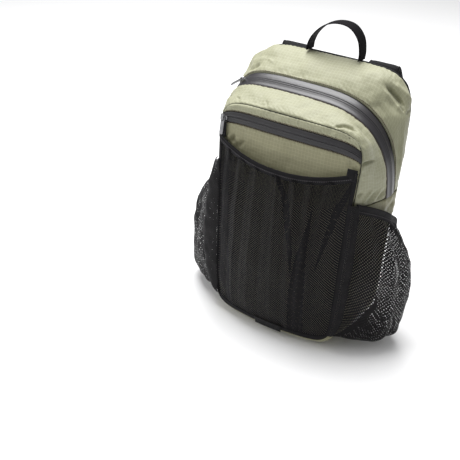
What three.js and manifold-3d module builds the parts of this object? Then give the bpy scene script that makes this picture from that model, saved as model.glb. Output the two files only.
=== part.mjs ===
// Packable backpack of thin ripstop cloth with an arched main zip, a zipped front pocket and mesh pockets.
// Millimetres. +X is the bag's right as seen from the front, -Y is the front, +Z is up.
// The origin lies on the floor under the middle of the bag.
import * as THREE from 'three';
import { mergeVertices } from 'three/addons/utils/BufferGeometryUtils.js';
import Module from 'manifold-3d';

const wasm = await Module();
wasm.setup();

// Driving dimensions
const bagWidth = 290;
const bagHeight = 440;
const bagDepth = 140;
const clothWall = 1.6;
const backPadding = 4;
const meshWall = 1.2;
const seamGap = 0.3;
const pocketSeat = 0.9;
const zipTapeWidth = 27;
const pocketZipTapeWidth = 17.5;
const pocketZipDrop = 23.7;
const bindingHeight = 8;
const bindingWall = 2.6;
const sideBindingHeight = 13;
const frontPocketBillow = 17;
const leftPocketBillow = 79;
const rightPocketBillow = 62;
const loopWebbing = 25;
const strapWidth = 50;
const strapPadding = 9;
const webbingWidth = 20;
const webbingWall = 1.8;
const labelWidth = 54;
const labelHeight = 15;
const labelWall = 1.0;
const adjusterHeight = 26;
const adjusterRim = 4.5;
const adjusterWall = 4;
const sideMouthDrop = 2.04;
const sideMouthSlope = 84;
const sideFootFront = 10;
const sideFootBack = 34;
const frontMouthDrop = 39.5;
const frontMouthDip = 22;
const labelLevel = 11;
const labelMiddle = 4;
const sliderLength = 12;
const sliderWidth = 9;
const sliderWall = 3;
const bridgeWidth = 2.4;
const bridgeWall = 1.2;
const pullLength = 27;
const pullWidth = 6.4;
const pullWall = 1.6;
const pullClearance = 0.7;
const pocketPullLean = 0.1;

// Rings of the shell, from the seam with the back panel to the seam with the front panel.
// y and footBow, which bows the middle of the foot along Y, are in shares of the depth. top and foot are
// in shares of the height, and half, flare and footHalf in shares of half the width. half is taken at the
// side seam and flare is what the top adds to it.
// squareRight and squareLeft say how square the upper corners are: 2 is a round arch.
const rings = [
  { row: 'back seam', yTop: 0.490, ySide: 0.500, yFoot: 0.470, top: 1.000, foot: 0.020,
    half: 0.895, flare: 0.09, footHalf: 0.86, footBow: 0.00, squareRight: 5.5, squareLeft: 5.5 },
  { row: 'rear swell', yTop: 0.280, ySide: 0.350, yFoot: 0.350, top: 0.975, foot: 0,
    half: 0.980, flare: 0.07, footHalf: 0.87, footBow: 0.00, squareRight: 4.3, squareLeft: 5.6 },
  { row: 'main zip', yTop: 0.000, ySide: 0.130, yFoot: 0.090, top: 0.911, foot: 0,
    half: 0.985, flare: 0.00, footHalf: 0.85, footBow: 0.00, squareRight: 2.7, squareLeft: 5.3 },
  { row: 'front swell', yTop: -0.200, ySide: -0.170, yFoot: -0.240, top: 0.887, foot: 0,
    half: 0.930, flare: 0.02, footHalf: 0.81, footBow: -0.04, squareRight: 3.8, squareLeft: 6.0 },
  { row: 'front seam', yTop: -0.390, ySide: -0.443, yFoot: -0.480, top: 0.855, foot: 0.022,
    half: 0.825, flare: 0.04, footHalf: 0.78, footBow: -0.10, squareRight: 6.6, squareLeft: 6.6 },
];
const sideSeamShare = 0.591;
const footSquare = 10;
const panelCrownShare = 0.055;

// Dents and folds of the slack cloth: place on the shell, reach along it and around it, depth in shares
// of the width. u counts rings from the back seam and v runs round a ring, with 4 at its top.
const dents = [
  { at: 'right shoulder', u: 0.95, v: 3.05, reachU: 0.55, reachV: 0.24, depth: 0.052 },
  { at: 'right shoulder ridge', u: 0.70, v: 3.42, reachU: 0.60, reachV: 0.20, depth: -0.016 },
  { at: 'left shoulder', u: 1.25, v: 4.95, reachU: 0.45, reachV: 0.20, depth: 0.026 },
  { at: 'left shoulder ridge', u: 0.55, v: 4.98, reachU: 0.45, reachV: 0.26, depth: -0.018 },
  { at: 'right front corner', u: 4.05, v: 3.02, reachU: 0.40, reachV: 0.22, depth: 0.026 },
  { at: 'right front side', u: 4.10, v: 2.50, reachU: 0.55, reachV: 0.24, depth: 0.020 },
  { at: 'left front corner', u: 4.05, v: 5.00, reachU: 0.40, reachV: 0.20, depth: 0.018 },
];

// How far a side pocket stands out and sags, in shares of its billow, from its foot to its mouth.
const sidePocketSection = [
  { up: 0.00, out: 0.04, drop: 0.00 },
  { up: 0.10, out: 0.56, drop: 0.28 },
  { up: 0.25, out: 0.94, drop: 0.50 },
  { up: 0.40, out: 1.00, drop: 0.40 },
  { up: 0.55, out: 0.98, drop: 0.20 },
  { up: 0.70, out: 0.84, drop: 0.06 },
  { up: 0.85, out: 0.51, drop: 0.00 },
  { up: 1.00, out: 0.17, drop: 0.00 },
];
// How much more a side pocket sags at its front end than at its back end.
const rightSagAtFront = 2.2;
const leftSagAtFront = 1.6;
const sagAtBack = 0.5;

// The parts of a side pocket's net, from front to back and from foot to mouth.
const netStretches = [
  { name: 'front', from: 0, to: 0.18, count: 3 },
  { name: 'middle', from: 0.18, to: 0.80, count: 5 },
  { name: 'back', from: 0.80, to: 1, count: 3 },
];
const netLevels = [
  { name: 'low', from: 0, to: 0.22, count: 3 },
  { name: 'high', from: 0.22, to: 1, count: 6 },
];
const frontPocketSection = [
  { up: 0.00, out: 0.08 },
  { up: 0.12, out: 0.66 },
  { up: 0.35, out: 1.00 },
  { up: 0.70, out: 0.94 },
  { up: 1.00, out: 0.84 },
];

// The front pocket's sides and foot on the front panel, and the side pockets' two ends on the shell.
const frontPocket = { reach: 0.99, foot: -0.975 };
const sidePocket = { uFront: 4.975, uBack: 0.07 };

// The main slider's place round the ring, and the pocket slider's across the front panel.
const mainSliderTurn = 4.93;
const pocketSliderAcross = -0.945;

// Routes of the bands on the back, in shares: x of half the width, y of the depth and z of the height.
// y counts from the back panel's face, and on the loop from the middle of the back seam.
const loopRoute = [
  { x: -0.300, y: 0.000, z: 1.000 },
  { x: -0.295, y: 0.004, z: 1.022 },
  { x: -0.250, y: 0.012, z: 1.058 },
  { x: -0.130, y: 0.020, z: 1.097 },
  { x: 0.030, y: 0.022, z: 1.115 },
  { x: 0.180, y: 0.020, z: 1.108 },
  { x: 0.285, y: 0.014, z: 1.074 },
  { x: 0.322, y: 0.004, z: 1.028 },
  { x: 0.320, y: 0.000, z: 1.000 },
];
const strapRoute = [
  { x: 0.525, y: 0.000, z: 0.905 },
  { x: 0.528, y: 0.006, z: 0.952 },
  { x: 0.532, y: 0.070, z: 0.986 },
  { x: 0.545, y: 0.155, z: 0.950 },
  { x: 0.570, y: 0.250, z: 0.850 },
  { x: 0.600, y: 0.280, z: 0.705 },
  { x: 0.640, y: 0.235, z: 0.540 },
  { x: 0.680, y: 0.165, z: 0.420 },
];
const webbingRoute = [
  { x: 0.700, y: 0.012, z: 0.230 },
  { x: 0.705, y: 0.000, z: 0.155 },
  { x: 0.705, y: 0.000, z: 0.085 },
];
const strapTaper = 0.28;

const halfWidth = bagWidth / 2;
const sideSeam = bagHeight * sideSeamShare;

const colours = {
  cloth: { color: 0xa6a583, roughness: 0.62, metalness: 0 },
  backCloth: { color: 0x232225, roughness: 0.85, metalness: 0 },
  tape: { color: 0x2f2e33, roughness: 0.35, metalness: 0 },
  mesh: { color: 0x1d1c1f, roughness: 0.8, metalness: 0 },
  binding: { color: 0x1a191b, roughness: 0.75, metalness: 0 },
  webbing: { color: 0x222125, roughness: 0.7, metalness: 0 },
  metal: { color: 0xb9b9bb, roughness: 0.25, metalness: 1 },
  plastic: { color: 0x18181a, roughness: 0.45, metalness: 0 },
};

const backpack = new THREE.Group();
backpack.name = 'backpack';

function addPiece(name, geometry, finish, parent = backpack) {
  const mesh = new THREE.Mesh(geometry, new THREE.MeshStandardMaterial(colours[finish]));
  mesh.name = name;
  parent.add(mesh);
  return mesh;
}

// A holder whose X, Y and Z axes lie along `across`, `along` and their normal.
function placed(position, across, along) {
  const holder = new THREE.Group();
  const out = across.clone().cross(along).normalize();
  holder.position.copy(position);
  holder.quaternion.setFromRotationMatrix(new THREE.Matrix4().makeBasis(across, along, out));
  backpack.add(holder);
  return holder;
}

function mix(a, b, t) {
  return a + (b - a) * t;
}

function quadratic(a, b, c, t) {
  return a * (1 - t) * (1 - 2 * t) + b * 4 * t * (1 - t) + c * t * (2 * t - 1);
}

function steps(from, to, count) {
  return Array.from({ length: count + 1 }, (_, i) => mix(from, to, i / count));
}

// A smooth curve through one column of a table whose rows are in order of `key`.
function alongTable(rows, key, column, at) {
  let i = 0;
  while (i < rows.length - 2 && rows[i + 1][key] <= at) i += 1;
  const before = rows[Math.max(i - 1, 0)];
  const from = rows[i];
  const to = rows[i + 1];
  const after = rows[Math.min(i + 2, rows.length - 1)];
  const span = to[key] - from[key];
  const t = (at - from[key]) / span;
  const slopeFrom = (to[column] - before[column]) / (to[key] - before[key]) * span;
  const slopeTo = (after[column] - from[column]) / (after[key] - from[key]) * span;
  const t2 = t * t;
  const t3 = t2 * t;
  return from[column] * (2 * t3 - 3 * t2 + 1) + slopeFrom * (t3 - 2 * t2 + t)
    + to[column] * (3 * t2 - 2 * t3) + slopeTo * (t3 - t2);
}

// The table's rows in millimetres, with the main zip's row opened into the two edges of its tape.
function sizedRings() {
  const sized = rings.map((ring) => ({
    yTop: ring.yTop * bagDepth,
    ySide: ring.ySide * bagDepth,
    yFoot: ring.yFoot * bagDepth,
    top: ring.top * bagHeight,
    foot: ring.foot * bagHeight,
    half: ring.half * halfWidth,
    flare: ring.flare * halfWidth,
    footHalf: ring.footHalf * halfWidth,
    footBow: ring.footBow * bagDepth,
    squareRight: ring.squareRight,
    squareLeft: ring.squareLeft,
  }));
  const [backSeam, rearSwell, zip, frontSwell, frontSeam] = sized;
  const slope = Math.atan2(rearSwell.top - frontSwell.top, rearSwell.yTop - frontSwell.yTop);
  const tapeEdge = (way) => ({
    ...zip,
    yTop: zip.yTop + way * zipTapeWidth / 2 * Math.cos(slope),
    top: zip.top + way * zipTapeWidth / 2 * Math.sin(slope),
    ySide: zip.ySide + way * zipTapeWidth / 2,
    yFoot: zip.yFoot + way * zipTapeWidth / 2,
  });
  return [backSeam, rearSwell, tapeEdge(1), tapeEdge(-1), frontSwell, frontSeam];
}

const ringRows = sizedRings();
const u = { backSeam: 0, zipRear: 2, zipFront: 3, frontSeam: 5 };
const v = { footCorner: 1, sideSeam: 2, corner: 3, top: 4, round: 8 };

// The ring at u: smooth through the back three rows and the front three, straight across the tape.
function ringAt(at) {
  const ring = {};
  for (const column of Object.keys(ringRows[0])) {
    const values = ringRows.map((row) => row[column]);
    if (at <= u.zipRear) {
      ring[column] = quadratic(values[0], values[1], values[2], at / 2);
    } else if (at <= u.zipFront) {
      ring[column] = mix(values[2], values[3], at - u.zipRear);
    } else {
      ring[column] = quadratic(values[3], values[4], values[5], (at - u.zipFront) / 2);
    }
  }
  ring.foot = Math.max(ring.foot, 0);
  return ring;
}

// A point in the plane of a ring, where across and up reach 1 at its sides, its top and its foot.
function inRing(ring, across, up) {
  const rise = Math.abs(up);
  if (up > 0) {
    const x = across * (ring.half + ring.flare * rise);
    return new THREE.Vector3(x, mix(ring.ySide, ring.yTop, rise), mix(sideSeam, ring.top, rise));
  }
  const x = across * mix(ring.half, ring.footHalf, rise);
  const yFoot = ring.yFoot + ring.footBow * (1 - across ** 2);
  return new THREE.Vector3(x, mix(ring.ySide, yFoot, rise), mix(sideSeam, ring.foot, rise));
}

function squareness(ring, a, b) {
  const cornerAbove = a > 0 ? ring.squareRight : ring.squareLeft;
  return b > 0 ? cornerAbove : footSquare;
}

// A point on a ring in the direction (a, b), where the larger of |a| and |b| is 1.
function onRing(ring, a, b) {
  const square = squareness(ring, a, b);
  const scale = (Math.abs(a) ** square + Math.abs(b) ** square) ** (-1 / square);
  return inRing(ring, a * scale, b * scale);
}

// Turns v, counted once round the ring from the middle of the foot, into a direction (a, b).
function direction(at) {
  const turn = ((at % v.round) + v.round) % v.round;
  const right = turn <= v.top;
  const climb = right ? turn : v.round - turn;
  const side = right ? 1 : -1;
  if (climb <= 1) return [side * climb, -1];
  if (climb <= 3) return [side, climb - 2];
  return [side * (4 - climb), 1];
}

function smoothShell(atU, atV) {
  const [a, b] = direction(atV);
  return onRing(ringAt(atU), a, b);
}

// The shell with its dents, which fade out at the two end seams.
function shell(atU, atV) {
  const clamped = Math.min(Math.max(atU, u.backSeam), u.frontSeam);
  const point = smoothShell(clamped, atV);
  const free = Math.sin(Math.PI * clamped / u.frontSeam) ** 0.5;
  const inward = new THREE.Vector3(-point.x, 0, sideSeam - point.z).normalize();
  const turn = ((atV % v.round) + v.round) % v.round;
  for (const dent of dents) {
    const alongU = (clamped - dent.u) / dent.reachU;
    const alongV = (turn - dent.v) / dent.reachV;
    const depth = dent.depth * bagWidth * free * Math.exp(-(alongU ** 2) - alongV ** 2);
    point.addScaledVector(inward, depth);
  }
  return point;
}

// The shell's outward normal, which turns into the plane of the ring at the two end seams.
function shellNormal(atU, atV) {
  const reach = 0.02;
  const alongU = shell(atU + reach, atV).sub(shell(atU - reach, atV));
  const alongV = shell(atU, atV + reach).sub(shell(atU, atV - reach));
  const normal = alongV.cross(alongU).normalize();
  const fade = 0.5;
  const fromEnd = Math.min(atU - u.backSeam, u.frontSeam - atU) / fade;
  normal.y *= Math.min(Math.max(fromEnd, 0), 1);
  return normal.normalize();
}

// How much lower a level line of a closed end runs at `a` than in the middle.
function cornerDip(a, square) {
  return (1 - Math.abs(a) ** square / 2) ** (1 / square);
}

// A closed end of the bag: (a, b) from -1 to 1 fills the ring, and the middle is crowned along Y.
function endPanel(ring, a, b, crown) {
  const square = squareness(ring, a, b);
  const point = inRing(ring, a * cornerDip(b, square), b * cornerDip(a, square));
  point.y += crown * (1 - a ** 2) * (1 - b ** 2);
  return point;
}

const backRing = ringRows[0];
const frontRing = ringRows[ringRows.length - 1];
const panelCrown = panelCrownShare * bagDepth;
const front = new THREE.Vector3(0, -1, 0);
const back = new THREE.Vector3(0, 1, 0);
const rightward = new THREE.Vector3(1, 0, 0);

function frontFace(a, b, standoff) {
  const point = endPanel(frontRing, a, b, -panelCrown);
  point.y -= seamGap + clothWall + standoff;
  return point;
}

function backFace(a, b) {
  const point = endPanel(backRing, a, b, 0);
  point.y += seamGap + backPadding;
  return point;
}

// One closed solid from a grid of points on its outer face, a wall behind them and rims round it.
function closedSheet(outer, inner) {
  const rows = outer.length;
  const columns = outer[0].length;
  const positions = [];
  for (const face of [outer, inner]) {
    for (const row of face) {
      for (const point of row) positions.push(point.x, point.y, point.z);
    }
  }
  const at = (face, row, column) => face * rows * columns + row * columns + column;
  const triangles = [];
  const quad = (p, q, r, s) => triangles.push(p, q, r, p, r, s);
  for (let i = 0; i < rows - 1; i += 1) {
    for (let j = 0; j < columns - 1; j += 1) {
      quad(at(0, i, j), at(0, i + 1, j), at(0, i + 1, j + 1), at(0, i, j + 1));
      quad(at(1, i, j), at(1, i, j + 1), at(1, i + 1, j + 1), at(1, i + 1, j));
    }
  }
  const last = columns - 1;
  const bottom = rows - 1;
  for (let i = 0; i < bottom; i += 1) {
    quad(at(0, i, 0), at(1, i, 0), at(1, i + 1, 0), at(0, i + 1, 0));
    quad(at(0, i, last), at(0, i + 1, last), at(1, i + 1, last), at(1, i, last));
  }
  for (let j = 0; j < last; j += 1) {
    quad(at(0, 0, j), at(0, 0, j + 1), at(1, 0, j + 1), at(1, 0, j));
    quad(at(0, bottom, j), at(1, bottom, j), at(1, bottom, j + 1), at(0, bottom, j + 1));
  }
  const geometry = new THREE.BufferGeometry();
  geometry.setAttribute('position', new THREE.Float32BufferAttribute(positions, 3));
  geometry.setIndex(enclosedVolume(positions, triangles) > 0 ? triangles : triangles.reverse());
  return geometry;
}

function enclosedVolume(positions, triangles) {
  const corner = (index) => new THREE.Vector3().fromArray(positions, index * 3);
  let volume = 0;
  for (let i = 0; i < triangles.length; i += 3) {
    const [p, q, r] = [corner(triangles[i]), corner(triangles[i + 1]), corner(triangles[i + 2])];
    volume += p.dot(q.cross(r)) / 6;
  }
  return volume;
}

// Draws the edge rows and columns of a grid of points in by half a seam gap.
function drawIn(points) {
  const pull = (point, neighbour) => {
    const step = neighbour.clone().sub(point).normalize();
    point.addScaledVector(step, seamGap / 2);
  };
  const lastRow = points.length - 1;
  const lastColumn = points[0].length - 1;
  for (let j = 0; j <= lastColumn; j += 1) {
    pull(points[0][j], points[1][j]);
    pull(points[lastRow][j], points[lastRow - 1][j]);
  }
  for (let i = 0; i <= lastRow; i += 1) {
    pull(points[i][0], points[i][1]);
    pull(points[i][lastColumn], points[i][lastColumn - 1]);
  }
}

function sheet(surface, outward, alongFirst, alongSecond, wall) {
  const outer = alongFirst.map((p) => alongSecond.map((q) => surface(p, q)));
  drawIn(outer);
  const inner = alongFirst.map((p, i) => alongSecond.map((q, j) => (
    outer[i][j].clone().addScaledVector(outward(p, q), -wall))));
  return closedSheet(outer, inner);
}

function addShellPanels() {
  const bands = [
    { name: 'rear_shell', from: u.backSeam, to: u.zipRear, count: 4, finish: 'cloth' },
    { name: 'main_zip', from: u.zipRear, to: u.zipFront, count: 1, finish: 'tape' },
    { name: 'front_shell', from: u.zipFront, to: u.frontSeam, count: 4, finish: 'cloth' },
  ];
  const stretches = [
    { name: 'right', from: v.sideSeam, to: v.corner, count: 4 },
    { name: 'top', from: v.corner, to: v.round - v.corner, count: 8 },
    { name: 'left', from: v.round - v.corner, to: v.round - v.sideSeam, count: 4 },
  ];
  for (const band of bands) {
    for (const stretch of stretches) {
      const alongU = steps(band.from, band.to, band.count);
      const alongV = steps(stretch.from, stretch.to, stretch.count);
      const geometry = sheet(shell, shellNormal, alongU, alongV, clothWall);
      addPiece(`${band.name}_${stretch.name}`, geometry, band.finish);
    }
  }
}

function addFoot() {
  const alongU = [...steps(u.backSeam, u.zipRear, 4), ...steps(u.zipFront, u.frontSeam, 4)];
  const lower = [
    { name: 'lower_side_right', from: v.footCorner, to: v.sideSeam, count: 4 },
    { name: 'bottom_panel', from: -v.footCorner, to: v.footCorner, count: 6 },
    { name: 'lower_side_left', from: v.round - v.sideSeam, to: v.round - v.footCorner, count: 4 },
  ];
  for (const stretch of lower) {
    const alongV = steps(stretch.from, stretch.to, stretch.count);
    addPiece(stretch.name, sheet(shell, shellNormal, alongU, alongV, clothWall), 'cloth');
  }
}

// The pocket zip lies below the front panel's top, the front pocket's mouth below the zip, and the side
// pockets' mouths below the side seam.
const pocketZipLevel = frontRing.top - pocketZipDrop;
const frontMouthEnd = pocketZipLevel - frontMouthDrop;
const frontMouthMiddle = frontMouthEnd - frontMouthDip;
const sideMouthFront = sideSeam - sideMouthDrop;
const sideMouthBack = sideMouthFront - sideMouthSlope;

// Turns a height above the side seam into the front panel's b at `a`.
function levelOnFront(z, a) {
  return (z - sideSeam) / (frontRing.top - sideSeam) / cornerDip(a, frontRing.squareRight);
}

function addFrontPanels() {
  const zipLow = levelOnFront(pocketZipLevel - pocketZipTapeWidth / 2, 0);
  const zipHigh = levelOnFront(pocketZipLevel + pocketZipTapeWidth / 2, 0);
  const lower = [...steps(-1, 0, 6), ...steps(0, zipLow, 3).slice(1)];
  const bands = [
    { name: 'front_panel_lower', levels: lower, finish: 'cloth' },
    { name: 'pocket_zip', levels: [zipLow, zipHigh], finish: 'tape' },
    { name: 'front_panel_upper', levels: [zipHigh, 1], finish: 'cloth' },
  ];
  const surface = (b, a) => frontFace(a, b, 0);
  for (const band of bands) {
    const geometry = sheet(surface, () => front, band.levels, steps(-1, 1, 12), clothWall);
    addPiece(band.name, geometry, band.finish);
  }
}

function addBackPanel() {
  const surface = (b, a) => backFace(a, b);
  const geometry = sheet(surface, () => back, steps(-1, 1, 10), steps(-1, 1, 8), backPadding);
  addPiece('back_panel', geometry, 'backCloth');
}

// The front mesh pocket: `up` runs from its foot to its mouth, and past 1 through the binding.
function frontPocketFace(up, a, wall) {
  const mouthHeight = mix(frontMouthMiddle, frontMouthEnd, (a / frontPocket.reach) ** 2);
  const beyond = Math.max(up - 1, 0) * bindingHeight;
  const mouth = levelOnFront(mouthHeight + beyond, a);
  const b = mix(frontPocket.foot, mouth, Math.min(up, 1));
  const bulge = 1 - Math.abs(a / frontPocket.reach) ** 3;
  const out = alongTable(frontPocketSection, 'up', 'out', Math.min(up, 1));
  return frontFace(a, b, seamGap + wall + frontPocketBillow * out * bulge);
}

function addFrontPocket() {
  const alongA = steps(-frontPocket.reach, frontPocket.reach, 12);
  const meshFace = (up, a) => frontPocketFace(up, a, meshWall);
  const net = sheet(meshFace, () => front, steps(0, 1, 9), alongA, meshWall);
  addPiece('front_mesh_pocket', net, 'mesh');
  const bindingFace = (up, a) => frontPocketFace(up, a, bindingWall);
  const binding = sheet(bindingFace, () => front, [1, 2], alongA, bindingWall);
  addPiece('front_pocket_binding', binding, 'binding');
}

// A side mesh pocket: `along` runs from front to back, and `up` as on the front pocket.
function sidePocketFace(side, up, along, wall) {
  const atU = mix(sidePocket.uFront, sidePocket.uBack, along);
  const ring = ringAt(atU);
  const low = Math.min(up, 1);
  const mouth = mix(sideMouthFront, sideMouthBack, along);
  const foot = mix(sideFootFront, sideFootBack, along);
  const level = mix(foot, mouth, low) + Math.max(up - 1, 0) * sideBindingHeight;
  const reach = level > sideSeam ? ring.top - sideSeam : sideSeam - ring.foot;
  const atV = v.sideSeam + (level - sideSeam) / reach;
  const point = smoothShell(atU, side > 0 ? atV : v.round - atV);
  const billow = side > 0 ? rightPocketBillow : leftPocketBillow;
  const belly = billow * Math.sin(Math.PI * along) ** 0.6;
  point.x += side * (pocketSeat + wall + belly * alongTable(sidePocketSection, 'up', 'out', low));
  const sag = mix(side > 0 ? rightSagAtFront : leftSagAtFront, sagAtBack, along);
  point.z -= sag * belly * alongTable(sidePocketSection, 'up', 'drop', low);
  return point;
}

// The outward normal of a side pocket's net, which is straight out where the net is sewn to the shell.
function sideNetNormal(side, up, along) {
  if (up < 0.001 || along < 0.001 || along > 0.999) return new THREE.Vector3(side, 0, 0);
  const step = 0.003;
  const here = sidePocketFace(side, up, along, meshWall);
  const rise = here.clone().sub(sidePocketFace(side, up - step, along, meshWall));
  const run = sidePocketFace(side, up, along + step, meshWall).sub(here);
  return run.cross(rise).multiplyScalar(side).normalize();
}

function addSidePocket(name, side) {
  const outward = new THREE.Vector3(side, 0, 0);
  const alongSide = steps(0, 1, 9);
  const meshFace = (up, along) => sidePocketFace(side, up, along, meshWall);
  const netNormal = (up, along) => sideNetNormal(side, up, along);
  for (const stretch of netStretches) {
    for (const level of netLevels) {
      const alongUp = steps(level.from, level.to, level.count);
      const alongPart = steps(stretch.from, stretch.to, stretch.count);
      const net = sheet(meshFace, netNormal, alongUp, alongPart, meshWall);
      addPiece(`side_mesh_${name}_${stretch.name}_${level.name}`, net, 'mesh');
    }
  }
  const bindingFace = (up, along) => sidePocketFace(side, up, along, bindingWall);
  const binding = sheet(bindingFace, () => outward, [1, 2], alongSide, bindingWall);
  addPiece(`side_binding_${name}`, binding, 'binding');
}

// How far out the back panel's face lies at height z.
function backAtLevel(z) {
  const reach = z > sideSeam ? backRing.top - sideSeam : sideSeam - backRing.foot;
  return mix(backRing.ySide, z > sideSeam ? backRing.yTop : backRing.yFoot, Math.abs(z - sideSeam) / reach)
    + seamGap + backPadding;
}

// A point of a route on the back, for the middle of a band as thick as `wall`.
function routePoint(share, side, wall) {
  const z = share.z * bagHeight;
  const y = backAtLevel(z) + seamGap + wall / 2 + share.y * bagDepth;
  return new THREE.Vector3(side * share.x * halfWidth, y, z);
}

// A flat band along a curve. Its width lies as near to `across` as it can, square to the curve.
function band(curve, across, widthAt, wall, count) {
  const axes = (along) => {
    const tangent = curve.getTangent(along);
    const wide = across.clone().addScaledVector(tangent, -tangent.dot(across)).normalize();
    return { wide, out: tangent.clone().cross(wide).normalize() };
  };
  const surface = (along, side) => {
    const { wide, out } = axes(along);
    const point = curve.getPoint(along).addScaledVector(wide, side * widthAt(along) / 2);
    return point.addScaledVector(out, wall / 2);
  };
  return sheet(surface, (along) => axes(along).out, steps(0, 1, count), [-1, 0, 1], wall);
}

// The haul loop stands on the seam between the top and the back panel.
function addHaulLoop() {
  const points = loopRoute.map((share) => new THREE.Vector3(
    share.x * halfWidth,
    backRing.yTop + share.y * bagDepth,
    share.z * bagHeight + seamGap,
  ));
  const curve = new THREE.CatmullRomCurve3(points, false, 'centripetal');
  addPiece('haul_loop', band(curve, back, () => loopWebbing, webbingWall, 18), 'webbing');
}

function addShoulderStrap(name, side) {
  const points = strapRoute.map((share) => routePoint(share, side, strapPadding));
  const curve = new THREE.CatmullRomCurve3(points, false, 'centripetal');
  const widthAt = (along) => strapWidth * (1 - strapTaper * along ** 2);
  const strap = band(curve, rightward, widthAt, strapPadding, 16);
  addPiece(`shoulder_strap_${name}`, strap, 'backCloth');
  return curve;
}

// The adjuster is a frame with a bar across its middle, and the webbing goes through its two slots.
function adjuster() {
  const width = webbingWidth + 2 * adjusterRim;
  const outline = new THREE.Shape();
  outline.moveTo(-width / 2, -adjusterHeight / 2);
  outline.lineTo(width / 2, -adjusterHeight / 2);
  outline.lineTo(width / 2, adjusterHeight / 2);
  outline.lineTo(-width / 2, adjusterHeight / 2);
  outline.closePath();
  const slotHeight = (adjusterHeight - 3 * adjusterRim) / 2;
  for (const way of [-1, 1]) {
    const slot = new THREE.Path();
    const middle = way * (slotHeight + adjusterRim) / 2;
    slot.moveTo(-webbingWidth / 2, middle - slotHeight / 2);
    slot.lineTo(-webbingWidth / 2, middle + slotHeight / 2);
    slot.lineTo(webbingWidth / 2, middle + slotHeight / 2);
    slot.lineTo(webbingWidth / 2, middle - slotHeight / 2);
    slot.closePath();
    outline.holes.push(slot);
  }
  const geometry = new THREE.ExtrudeGeometry(outline, { depth: adjusterWall, bevelEnabled: false });
  return geometry.translate(0, 0, -adjusterWall / 2);
}

// Below each strap hang its adjuster and the webbing that runs down to the foot of the back panel.
function addStrapFoot(name, side, strapCurve) {
  const down = strapCurve.getTangent(1);
  const across = rightward.clone().addScaledVector(down, -down.x).normalize();
  const reach = adjusterHeight / 2 + seamGap;
  const middle = strapCurve.getPoint(1).addScaledVector(down, reach);
  addPiece(`strap_adjuster_${name}`, adjuster(), 'plastic', placed(middle, across, down));
  const start = middle.clone().addScaledVector(down, reach);
  const leaving = start.clone().addScaledVector(down, webbingWidth / 2);
  const landing = webbingRoute.map((share) => routePoint(share, side, webbingWall));
  const curve = new THREE.CatmullRomCurve3([start, leaving, ...landing], false, 'centripetal');
  const webbing = band(curve, rightward, () => webbingWidth, webbingWall, 10);
  addPiece(`strap_webbing_${name}`, webbing, 'webbing');
}

function addFrontLabel() {
  const low = (labelLevel - sideSeam) / (sideSeam - frontRing.foot);
  const high = low + labelHeight / (sideSeam - frontRing.foot);
  const left = (labelMiddle - labelWidth / 2) / frontRing.footHalf;
  const right = (labelMiddle + labelWidth / 2) / frontRing.footHalf;
  const mouth = levelOnFront(frontMouthMiddle, 0);
  const surface = (b, a) => {
    const point = frontPocketFace((b - frontPocket.foot) / (mouth - frontPocket.foot), a, meshWall);
    point.y -= seamGap + labelWall;
    return point;
  };
  const geometry = sheet(surface, () => front, [low, high], steps(left, right, 4), labelWall);
  addPiece('front_label', geometry, 'binding');
}

function toSolid(geometry) {
  const bare = geometry.clone();
  bare.deleteAttribute('normal');
  bare.deleteAttribute('uv');
  const merged = mergeVertices(bare);
  const vertProperties = new Float32Array(merged.attributes.position.array);
  const triVerts = new Uint32Array(merged.index.array);
  return new wasm.Manifold(new wasm.Mesh({ numProp: 3, vertProperties, triVerts }));
}

function join(first, second) {
  const mesh = toSolid(first).add(toSolid(second)).getMesh();
  const geometry = new THREE.BufferGeometry();
  geometry.setAttribute('position', new THREE.BufferAttribute(mesh.vertProperties, 3));
  geometry.setIndex(new THREE.BufferAttribute(mesh.triVerts, 1));
  return geometry;
}

// The pull's eye is a crossbar under the slider's bridge. Its hole runs past the bridge's far foot.
const crossbarLift = pullWall / 2 + pullClearance;
const bridgeInside = crossbarLift + pullWall / 2 + pullClearance;
const bridgeReach = 4.1;
const eyeLength = Math.hypot(bridgeReach, bridgeInside + bridgeWall - crossbarLift) + pullClearance / 2;

// A slider's plate lies on the tape with its nose towards -Y.
function sliderPlate() {
  const outline = new THREE.Shape();
  const nose = sliderWidth * 0.3;
  outline.moveTo(-nose, -sliderLength / 2);
  outline.lineTo(nose, -sliderLength / 2);
  outline.lineTo(sliderWidth / 2, sliderLength / 6);
  outline.lineTo(sliderWidth / 2, sliderLength / 2);
  outline.lineTo(-sliderWidth / 2, sliderLength / 2);
  outline.lineTo(-sliderWidth / 2, sliderLength / 6);
  outline.closePath();
  return new THREE.ExtrudeGeometry(outline, { depth: sliderWall, bevelEnabled: false });
}

// The bridge stands on the plate. It spans along Y, or across it where `turned` is true.
function sliderBridge(turned) {
  const sunk = sliderWall / 2;
  const top = bridgeInside + bridgeWall;
  const inside = bridgeReach - bridgeWall;
  const outline = new THREE.Shape();
  outline.moveTo(-bridgeReach, -sunk);
  outline.lineTo(-inside, -sunk);
  outline.lineTo(-inside, bridgeInside);
  outline.lineTo(inside, bridgeInside);
  outline.lineTo(inside, -sunk);
  outline.lineTo(bridgeReach, -sunk);
  outline.lineTo(bridgeReach, top - bridgeWall);
  outline.lineTo(bridgeReach - bridgeWall, top);
  outline.lineTo(bridgeWall - bridgeReach, top);
  outline.lineTo(-bridgeReach, top - bridgeWall);
  outline.closePath();
  const geometry = new THREE.ExtrudeGeometry(outline, { depth: bridgeWidth, bevelEnabled: false });
  geometry.translate(0, 0, -bridgeWidth / 2);
  geometry.rotateX(Math.PI / 2);
  if (!turned) geometry.rotateZ(Math.PI / 2);
  return geometry.translate(0, 0, sliderWall);
}

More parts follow.
